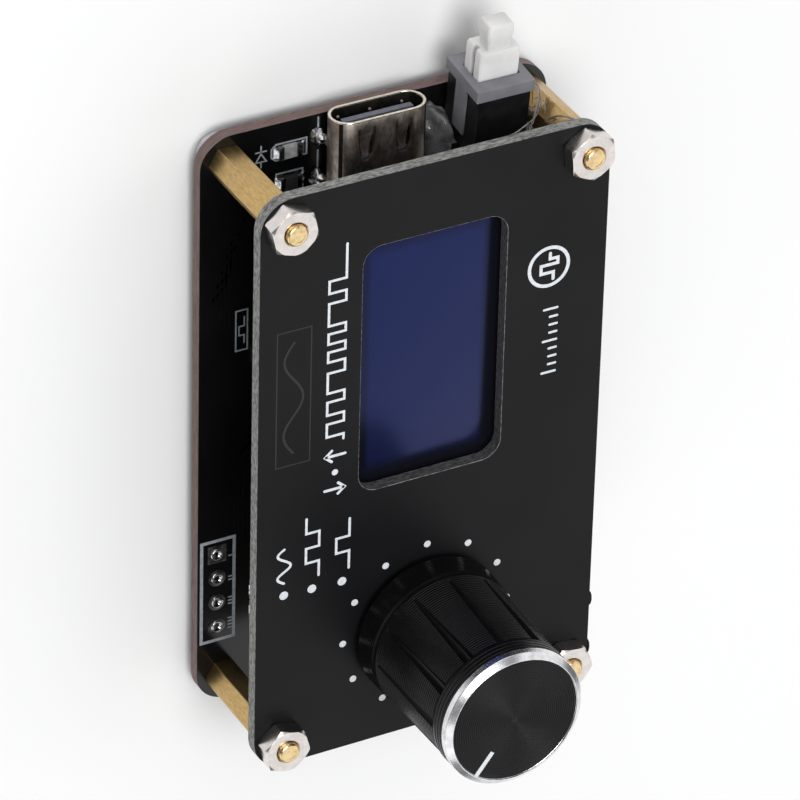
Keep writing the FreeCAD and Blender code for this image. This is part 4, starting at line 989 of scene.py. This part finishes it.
def usb_solder():
    mesh = bmesh.new()
    shell_left = box_mm("usb_shell")[0].x
    for number, (low, high) in enumerate(solids("usb_solder")):
        x = high.x - 0.12 if low.x < shell_left else low.x + 0.12
        blob(mesh, x, (low.y + high.y) / 2, 0.74, 1.1, number + 4, MAIN)
    # the lumps' near-black patches are partly a painted reflection of the black board
    piece("usb_solder_lumps", mesh, ["lump_tin_painted_reflection"], "frame", ["usb_solder"], sharp=80)


# ---- push switch ----

SWITCH_DEEP, SWITCH_TOP = 5.4, 7.3           # the switch's depth, and its cover's top face along its own axis
press_axis = Vector([joint for joint in frame["joints"] if joint["name"] == "switch_press"][0]["axis"])
SWITCH_LEAN = atan2(press_axis.z, press_axis.y)
body_low, body_high = box_mm("switch_body")
switch_foot = ((body_low.x + body_high.x) / 2, body_low.y + SWITCH_DEEP * sin(SWITCH_LEAN), body_low.z)
switch_place = Matrix.Translation(switch_foot) @ Matrix.Rotation(SWITCH_LEAN, 4, "X")


def loft_up(mesh, x, z, sections, corner):
    """A bar along Y through sections of half width, half depth and place."""
    rings = []
    for half_x, half_z, y in sections:
        cut = min(corner, half_x * 0.5, half_z * 0.5)
        in_x, in_z = half_x - cut, half_z - cut
        flat = ((in_x, -half_z), (half_x, -in_z), (half_x, in_z), (in_x, half_z),
                (-in_x, half_z), (-half_x, in_z), (-half_x, -in_z), (-in_x, -half_z))
        rings.append([mesh.verts.new((x + a, y, z + b)) for a, b in flat])
    join_rings(mesh, rings, capped=True)


def return_spring():
    """The coil behind the plunger."""
    coil_radius, wire_radius, turns, steps, sides = 0.8, 0.14, 5, 24, 10
    low, high, middle_z = 0.75, 3.3, SWITCH_DEEP / 2 - 0.6
    mesh = bmesh.new()
    rings = []
    for i in range(turns * steps + 1):
        angle = 2 * pi * i / steps
        outward = Vector((cos(angle), 0, sin(angle)))
        # the first and last turns lie flat, as ground ends do
        share = min(1.0, max(0.0, (i / steps - 0.75) / (turns - 1.5)))
        middle = Vector((0, low + (high - low) * share, middle_z)) + outward * coil_radius
        rings.append([mesh.verts.new(middle + (outward * out + Vector((0, up, 0))) * wire_radius)
                      for out, up in circle_points(0, 0, 1, sides)])
    join_rings(mesh, rings, capped=True)
    made = piece("return_spring", mesh, ["spring_steel"], None, ["switch_spring"],
                 matrix=switch_place)
    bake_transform(made)


def push_switch():
    dress("switch_body", "black_moulding", 0.1)
    dress("switch_cover", "grey_moulding", 0.09)
    dress("switch_contact", "gold")
    dress("switch_pins", "flat_tin", 0.03)
    return_spring()
    mesh, channel = bmesh.new(), bmesh.new()
    top, depth = SWITCH_TOP, SWITCH_DEEP / 2
    loft_up(mesh, 0, depth, [(1.85, 1.30, top - 3.7), (1.90, 1.35, top - 3.6), (1.90, 1.35, top + 2.45),
                             (1.80, 1.27, top + 2.66), (1.58, 1.08, top + 2.75)], 0.16)
    loft_up(mesh, -0.1, depth + 0.3,
            [(1.02, 0.80, top + 2.6), (1.05, 0.84, top + 3.1), (1.12, 0.90, top + 3.7),
             (1.22, 0.98, top + 4.1), (1.22, 0.98, top + 4.8), (1.12, 0.88, top + 5.2),
             (1.0, 0.78, top + 5.3)], 0.14)
    plunger = piece("plunger_bar", mesh, ["white_moulding"], "plunger", ["switch_plunger"],
                    matrix=switch_place, sharp=28)
    add_box(channel, (-2.4, top - 2.0, depth - 0.30), (-1.50, top + 3.2, depth + 0.38), 0.1)
    carve(plunger, piece("channel_tool", channel, ["white_moulding"], "plunger",
                         matrix=switch_place))


# ---- encoder and knob ----

FLUTES = 12
FLUTE_MARKS = (-1.0, -0.66, -0.33, 0.0, 0.33, 0.66, 1.0)   # across a flute, as shares of its half width
RIB_POINTS = 11                                            # from one flute to the next
SKIRT_RADIUS, TAPER = 7.0, 0.4
RING_RADIUS, LIP_RADIUS = 6.6, 6.0
POINTER_ANGLE = radians(233.0)


def encoder():
    for node, material, bevel in (("base", "black_moulding", 0.12), ("push_dome", "spring_steel", 0),
                                  ("rotor", "black_moulding", 0.05), ("detent_spring", "spring_steel", 0),
                                  ("frame", "zinc", 0.12), ("clamp", "spring_steel", 0.05),
                                  ("shaft", "zinc", 0.08), ("pins", "flat_tin", 0.04)):
        dress("encoder_" + node, material, bevel)


def knob_profile(base, grip_low, grip_high, shoulder):
    """Heights up the knob's side, and how far each lies under the plain taper."""
    heights = [(base, 0.25), (base + 0.08, 0.1), (base + 0.25, 0.0)]
    z = base + 0.45
    while z < base + 2.3:
        heights += [(z, 0.0), (z + 0.08, 0.022), (z + 0.14, 0.022), (z + 0.22, 0.0)]
        z += 0.3
    heights += [(base + 2.55, 0.0), (base + 2.7, 0.05), (base + 2.85, 0.09), (base + 3.0, 0.1)]
    z, pitch = grip_low, 0.27
    while z < grip_high - pitch:
        heights += [(z, 0.10), (z + pitch * 0.35, 0.10), (z + pitch * 0.55, 0.15), (z + pitch * 0.8, 0.15)]
        z += pitch
    heights += [(grip_high - 0.03, 0.10), (grip_high, 0.10), (grip_high + 0.06, 0.03)]
    z = grip_high + 0.3
    while z < shoulder - 0.4:
        heights += [(z, 0.0), (z + 0.09, 0.0), (z + 0.15, 0.055), (z + 0.27, 0.055), (z + 0.33, 0.0)]
        z += 0.42
    return heights + [(shoulder - 0.06, 0.0), (shoulder, 0.05)]


def fluted_points(plain, sink, half, depth):
    """One turn of the grip: a hollow flute and then a rib, all the way round."""
    points = []
    pitch = 2 * pi * plain / FLUTES
    for flute in range(FLUTES):
        hollow = []
        for mark in FLUTE_MARKS:
            drop = depth * (1 - mark * mark) ** 0.6
            hollow.append((plain - max(sink, drop + 0.1 if drop > 0 else 0), mark * half))
        rib = [(plain - sink, half + 0.05 + (pitch - 2 * half - 0.1) * step / (RIB_POINTS - 1))
               for step in range(RIB_POINTS)]
        for radius, reach in hollow + rib:
            points.append(polar(KNOB.x, KNOB.y, radius, 2 * pi * flute / FLUTES + reach / plain))
    return points


def knob_grip():
    low, high = box_mm("knob_body")
    base, shoulder = low.z, high.z
    grip_low, grip_high = base + 3.1, base + 13.2
    segments = FLUTES * (len(FLUTE_MARKS) + RIB_POINTS)
    mesh = bmesh.new()
    rings = [level(mesh, circle_points(KNOB.x, KNOB.y, radius, segments), height) for radius, height in
             ((3.02, base + 3.6), (3.02, base + 3.0), (5.6, base + 3.0), (5.6, base))]
    for z, sink in knob_profile(base, grip_low, grip_high, shoulder):
        plain = SKIRT_RADIUS - TAPER * (z - base) / (shoulder - base)
        share = min(1.0, max(0.0, (z - grip_low - 0.4) / (grip_high - grip_low - 0.4)))
        depth = 0.10 + 0.52 * share if grip_low + 0.3 < z < grip_high + 0.02 else 0.0
        rings.append(level(mesh, fluted_points(plain, sink, 0.16 + 0.40 * share, depth), z))
    rings += [level(mesh, circle_points(KNOB.x, KNOB.y, 5.9, segments), height)
              for height in (shoulder, shoulder - 0.3)]
    rings.append(level(mesh, [(KNOB.x, KNOB.y)], shoulder - 0.3))
    join_rings(mesh, rings)
    mesh.faces.new(rings[0][::-1])
    piece("knob_grip", mesh, ["knob_black"], "knob", ["knob_body"], sharp=32)


def knob():
    knob_grip()
    low, high = box_mm("knob_ring")
    mesh = bmesh.new()
    chamfer = ((RING_RADIUS, 0.44), (6.57, 0.38), (6.12, 0.03), (6.08, 0), (LIP_RADIUS + 0.02, 0),
               (LIP_RADIUS, 0.02), (5.99, 0.11), (5.86, 0.2))
    profile = [(5.86, low.z), (RING_RADIUS, low.z)] + [(radius, high.z - down) for radius, down in chamfer]
    lathe(mesh, profile, KNOB.x, KNOB.y, 128, closed=True)
    piece("knob_bright_ring", mesh, ["knob_chrome"], "knob", ["knob_ring"], sharp=20)

    low, high = box_mm("knob_cap")
    edge = LIP_RADIUS - 0.015
    mesh = bmesh.new()
    profile = [(0.0, low.z), (5.85, low.z), (5.85, high.z - 0.07), (edge, high.z - 0.05),
               (edge, high.z - 0.02)]
    radius, pitch, groove = 5.94, 0.205, 0.028
    while radius > 0.3:
        profile += [(radius, high.z), (radius - pitch * 0.35, high.z - groove),
                    (radius - pitch * 0.65, high.z - groove)]
        radius -= pitch
    profile += [(0.12, high.z - 0.01), (0.0, high.z - 0.01)]
    lathe(mesh, profile, KNOB.x, KNOB.y, 160)
    piece("knob_face", mesh, ["cap_black"], "knob", ["knob_cap"], sharp=15)

    mesh = bmesh.new()
    ahead = Vector((cos(POINTER_ANGLE), sin(POINTER_ANGLE)))
    across = Vector((-ahead.y, ahead.x)) * 0.21
    start, end = KNOB.xy + ahead * 3.45, KNOB.xy + ahead * 6.03
    add_print(mesh, [[[start + across, start - across, end - across, end + across]]], high.z - 0.02, 0.04)
    piece("pointer_line", mesh, ["white_ink"], "knob", ["knob_pointer"])


# ---- small parts ----

# a chip's leg, as places out from the chip and up
LEG_HEIGHTS = ((0.0, 0.62), (0.32, 0.62), (0.48, 0.5), (0.62, 0.14), (0.74, 0.06))
# the solder on a part's end, as places outward, then height and width as shares of the end's own
SOLDER_STEPS = ((0.0, 0.82, 0.82), (0.14, 0.55, 0.9), (0.26, 0.25, 0.98))


def chips():
    bodies, marks = bmesh.new(), bmesh.new()
    shapes = solids("microcontroller") + solids("small_chips")
    dimple = ((0.0, -0.06), (0.28, -0.06), (0.3, 0.005), (0.24, 0.005), (0.2, -0.02), (0.0, -0.02))
    for low, high in shapes:
        add_box(bodies, (low.x, low.y, low.z + 0.05), high, 0.14, 1)
        lathe(marks, [(radius, high.z + up) for radius, up in dimple], low.x + 0.62, high.y - 0.62, 20)
    piece("chip_bodies", bodies, ["chip_moulding"], "frame",
          ["microcontroller", "small_chips"])
    piece("chip_dots", marks, ["black_moulding"], "frame")
    leads, pads = bmesh.new(), bmesh.new()
    for low, high in solids("chip_leads"):
        middle, size = middle_of((low, high)), high - low
        chip_middle = middle_of(min(shapes, key=lambda box: (middle_of(box) - middle).length))
        if size.x > size.y:
            outward = Vector((copysign(1, middle.x - chip_middle.x), 0))
        else:
            outward = Vector((0, copysign(1, middle.y - chip_middle.y)))
        half, long = min(size.x, size.y) / 2, max(size.x, size.y)
        across = Vector((-outward.y, outward.x))
        inner = middle.xy - outward * (long / 2 + 0.12)
        rings = []
        for reach, height in (*LEG_HEIGHTS, (long + 0.12, 0.06)):
            place = inner + outward * reach
            rings.append([leads.verts.new((*(place + across * side * half * 0.85), MAIN + height + up * 0.05))
                          for side, up in corners_of(-1, -1, 1, 1)])
        join_rings(leads, rings, capped=True)
        pad = middle.xy + outward * 0.2
        half_long, half_wide = long / 2 + 0.05, half + 0.03
        reach_x = abs(outward.x) * half_long + abs(across.x) * half_wide
        reach_y = abs(outward.y) * half_long + abs(across.y) * half_wide
        add_box(pads, (pad.x - reach_x, pad.y - reach_y, MAIN),
                (pad.x + reach_x, pad.y + reach_y, MAIN + 0.035), 0)
    piece("chip_legs", leads, ["flat_tin"], "frame", ["chip_leads"])
    piece("chip_pads", pads, ["tin"], "frame")


def passives():
    for name, node, material, bevel in (("resistor_bodies", "resistors", "chip_moulding", 0.05),
                                        ("capacitor_bodies", "capacitors", "ceramic", 0.08)):
        mesh = bmesh.new()
        for low, high in solids(node):
            add_box(mesh, low, high, bevel)
        piece(name, mesh, [material], "frame", [node])
    lens = bmesh.new()
    low, high = box_mm("status_led")
    add_box(lens, low, (high.x, high.y, low.z + 0.3), 0.03)
    add_box(lens, (low.x + 0.05, low.y + 0.05, low.z + 0.28), (high.x - 0.05, high.y - 0.05, high.z), 0.14)
    piece("lamp_body", lens, ["lamp_lens"], "frame", ["status_led"])
    ends = bmesh.new()
    cores = [middle_of(box) for node in ("resistors", "capacitors", "status_led") for box in solids(node)]
    for low, high in solids("component_ends"):
        add_box(ends, low, high, 0.07)
        # the solder that climbs each end from its pad
        middle = middle_of((low, high))
        core = min(cores, key=lambda place: (place - middle).length)
        away = (middle - core).xy.normalized()
        across = Vector((-away.y, away.x))
        half = (high.y - low.y) / 2 if abs(away.x) > 0.5 else (high.x - low.x) / 2
        tall = high.z - low.z
        rings = []
        steps = [(out, up * tall, wide) for out, up, wide in SOLDER_STEPS] + [(0.40, 0.04, 1.02)]
        for reach, height, wide in steps:
            place = middle.xy + away * (0.2 + reach)
            flank = height * 0.8 + 0.01
            crown = ((-1, 0.0), (-0.8, flank), (0, height + 0.02), (0.8, flank), (1, 0.0))
            rings.append([ends.verts.new((*(place + across * side * half * wide), MAIN + up))
                          for side, up in crown])
        join_rings(ends, rings, capped=True)
    # the ends' dark patches are partly a painted reflection of the dark board
    piece("component_solder", ends, ["end_tin_painted_reflection"], "frame", ["component_ends"])


def input_socket():
    dress("input_socket", "black_moulding", 0.1)
    dress("input_pins", "flat_tin", 0.04)


def header():
    """Four solder-filled holes: a square pad first, then round ones."""
    mesh, fill = bmesh.new(), bmesh.new()
    crater = ((0.0, -0.5), (0.48, -0.5), (0.60, 0.06), (0.57, 0.13), (0.50, 0.17), (0.40, 0.14), (0.28, 0.04),
              (0.15, -0.05), (0.0, -0.08))
    places = sorted((middle_of(box) for box in solids("header_solder")), key=lambda place: -place.y)
    for number, (x, y, _) in enumerate(places):
        outline = (rounded_points(x - 0.9, y - 0.9, x + 0.9, y + 0.9, 0.08, 3) if number == 0
                   else circle_points(x, y, 0.82, 36))
        add_plate(mesh, [outline, circle_points(x, y, 0.5, 28)], MAIN, MAIN + 0.05, 0.015)
        verts = lathe(fill, [(radius, MAIN + up) for radius, up in crater], x, y)
        lumpy([vert for vert in verts if vert.co.z > MAIN - 0.2], 0.10, number * 3)
    piece("header_pads", mesh, ["dark_pad_tin"], "frame")
    piece("header_fill", fill, ["tin"], "frame", ["header_solder"], sharp=80)


def rear_joints():
    """Solder cones round every pin end on the back, with hollow flanks."""
    mesh = bmesh.new()
    shell, clamp = box_mm("usb_shell"), box_mm("encoder_clamp")
    cone = ((0.0, 0), (0.95, 0), (0.9, 0.08), (0.66, 0.18), (0.48, 0.36), (0.38, 0.6), (0.3, 0.82),
            (0.18, 0.92), (0.0, 0.95))
    mound = ((0.0, 0), (1, 0), (0.94, 0.1), (0.74, 0.3), (0.45, 0.55), (0.2, 0.66), (0.0, 0.68))
    pin_nodes = ("display_pins", "switch_pins", "encoder_pins", "input_pins")
    pins = [foot for node in pin_nodes for foot in feet(node)]
    pins += [middle_of(box) for box in solids("header_solder")]
    # each joint's place, width, profile, points round it, the skin at its foot left plain, and its unevenness
    joints = [(pin.x, pin.y, 1.0, cone, 24, 0.1, 0.07) for pin in pins]
    joints += [(x, shell[1].y - back, 1.0, mound, 28, 0.05, 0.1)
               for x in (shell[0].x + 0.15, shell[1].x - 0.15) for back in TAB_PLACES]
    joints += [(x, KNOB.y, 1.5, mound, 28, 0.05, 0.1) for x in (clamp[0].x + 0.15, clamp[1].x - 0.15)]
    for number, (x, y, wide, profile, segments, skin, uneven) in enumerate(joints):
        verts = lathe(mesh, [(radius * wide, BACK - down) for radius, down in profile], x, y, segments)
        lumpy([vert for vert in verts if vert.co.z < BACK - skin], uneven, number)
    piece("rear_joints", mesh, ["tin"], "frame", ["rear_solder"], sharp=80)


def glue_mass():
    """Hot-melt glue between the socket and the switch."""
    left, right = box_mm("usb_shell")[1].x, box_mm("switch_cover")[0].x
    middle = middle_of(box_mm("glue_bead"))
    mesh = bmesh.new()
    bead = bmesh.ops.create_icosphere(mesh, subdivisions=5, radius=1.0)["verts"]
    for vert in bead:
        swell = 1 + 0.20 * noise.noise(vert.co * 1.6 + Vector((4, 1, 7))) + 0.04 * noise.noise(vert.co * 4.0)
        tall = 2.1 + 1.2 * vert.co.x + 0.3 * vert.co.y
        vert.co = Vector((middle.x + vert.co.x * 1.75 * swell, middle.y - 0.5 + vert.co.y * 3.0 * swell,
                          max(MAIN + 0.25 + vert.co.z * tall * swell, MAIN + 0.01)))
        climb = 0.5 if vert.co.z < MAIN + 1.2 else 0.0
        vert.co.x = min(max(vert.co.x, left - 0.1 - climb), right + 0.28 + climb)
        vert.co.y = min(vert.co.y, board_high.y - 1.3)
    piece("glue_mass", mesh, ["glue_clear"], "frame", ["glue_bead"], sharp=85)


def glue_strings():
    """The strings that the glue draws out from the switch to the panel and the corner pillar."""
    strings = bmesh.new()
    pillar = HOLES[2]
    side, top = box_mm("switch_cover")[1].x, body_high.y
    # each string's radius, its points from the switch's top right edge, then its points from the pillar
    for radius, near, far in (
            (0.10, [(-0.05, -0.5, 8.6), (0.08, -0.8, 9.5), (-0.6, -1.5, 10.6), (-1.6, -2.1, 11.7),
                    (-2.5, -2.46, 12.6)], []),
            (0.06, [(0.04, -0.9, 8.3), (0.1, -1.2, 9.6), (-0.9, -1.9, 11.2), (-3.2, -2.40, 12.3),
                    (-4.6, -2.46, 12.7)], []),
            (0.05, [(0.1, -1.0, 7.2), (0.9, -1.6, 6.8)], [(-1.2, 1.0, 6.6)]),
            (0.12, [], [(-1.6, 0.9, 9.6), (-1.0, 1.7, 10.4), (-0.1, 1.8, 11.4), (0.6, 1.6, 12.6)]),
            (0.05, [(0.2, -2.4, 8.2), (0.8, -2.3, 9.0)], [(-1.5, 0.9, 9.8), (-0.6, 1.65, 10.2)])):
        points = [Vector((side + x, top + y, z)) for x, y, z in near]
        points += [Vector((pillar.x + x, pillar.y + y, z)) for x, y, z in far]
        add_strand(strings, smooth_path(points, 6), radius)
    # a crumpled web between the switch and the pillar
    web = []
    for step in range(9):
        share = step / 8
        across = Vector((side + 0.1 + share * 2.0, top - 2.6 - 0.5 * sin(3 * share), 9.0 - share * 0.8))
        droop = Vector((0.1, -1.5 - 0.5 * sin(5 * share), -1.6 - 0.4 * cos(4 * share)))
        row = [across + droop * part + Vector((0, 0, 0.25 * sin(9 * part + 4 * share)))
               for part in (0.0, 0.25, 0.5, 0.75, 1.0)]
        web.append([strings.verts.new(place) for place in row])
    sheet = [strings.faces.new((web[i][j], web[i + 1][j], web[i + 1][j + 1], web[i][j + 1]))
             for i in range(8) for j in range(4)]
    bmesh.ops.solidify(strings, geom=sheet, thickness=0.06)
    piece("glue_strings", strings, ["glue_thread"], "frame", sharp=85)


# ---- the studio, in metres, degrees and watts ----

FLOOR_HALF = 3.0
SOFTBOXES = (("above", (-0.235, 0.32, 1.24), 0.8, 11.4), ("top", (-0.20, 1.05, 0.50), 1.5, 5.2),
             ("opposite", (0.47, -0.63, 0.80), 1.2, 3.1), ("right", (0.84, 0.30, 0.63), 1.1, 2.5),
             ("left", (-0.68, -0.74, 0.52), 1.0, 2.6))
CAMERA_PLACE, CAMERA_TURN, CAMERA_LENS = (-0.21816, 0.29450, 0.40719), (-33.807, -27.817, 1.455), 285.0


def softbox(name, place, wide, power):
    """A round soft light that faces the object."""
    light = bpy.data.lights.new(name, "AREA")
    light.shape = "DISK"
    light.size = wide
    light.energy = power
    lamp = bpy.data.objects.new(name, light)
    lamp.location = place
    lamp.rotation_euler = (Vector((0, 0, 0.01)) - Vector(place)).to_track_quat("-Z", "Y").to_euler()
    bpy.context.scene.collection.objects.link(lamp)


def studio():
    floor_mesh = bpy.data.meshes.new("floor")
    corners = corners_of(-FLOOR_HALF, -FLOOR_HALF, FLOOR_HALF, FLOOR_HALF)
    floor_mesh.from_pydata([(x, y, 0) for x, y in corners], [], [(0, 1, 2, 3)])
    floor_mesh.materials.append(finish("floor_paint"))
    floor = bpy.data.objects.new("floor", floor_mesh)
    bpy.context.scene.collection.objects.link(floor)

    world = bpy.data.worlds.new("studio")
    world.use_nodes = True
    world.node_tree.nodes["Background"].inputs["Color"].default_value = (0.97, 0.98, 1.0, 1)
    world.node_tree.nodes["Background"].inputs["Strength"].default_value = 0.17
    bpy.context.scene.world = world
    for values in SOFTBOXES:
        softbox(*values)

    camera_data = bpy.data.cameras.new("camera")
    camera_data.sensor_width = 36.0
    camera_data.lens = CAMERA_LENS
    camera_data.clip_start, camera_data.clip_end = 0.05, 20.0
    camera = bpy.data.objects.new("camera", camera_data)
    camera.location = CAMERA_PLACE
    camera.rotation_euler = [radians(turn) for turn in CAMERA_TURN]
    bpy.context.scene.collection.objects.link(camera)
    bpy.context.scene.camera = camera
    bpy.context.scene.view_settings.view_transform = "Standard"


for build in (front_panel, panel_marks, main_board, copper, board_marks, standoffs, nuts, screws, display,
              usb_socket, usb_solder, push_switch, encoder, knob, chips, passives, input_socket, header,
              rear_joints, glue_mass, glue_strings, studio):
    build()
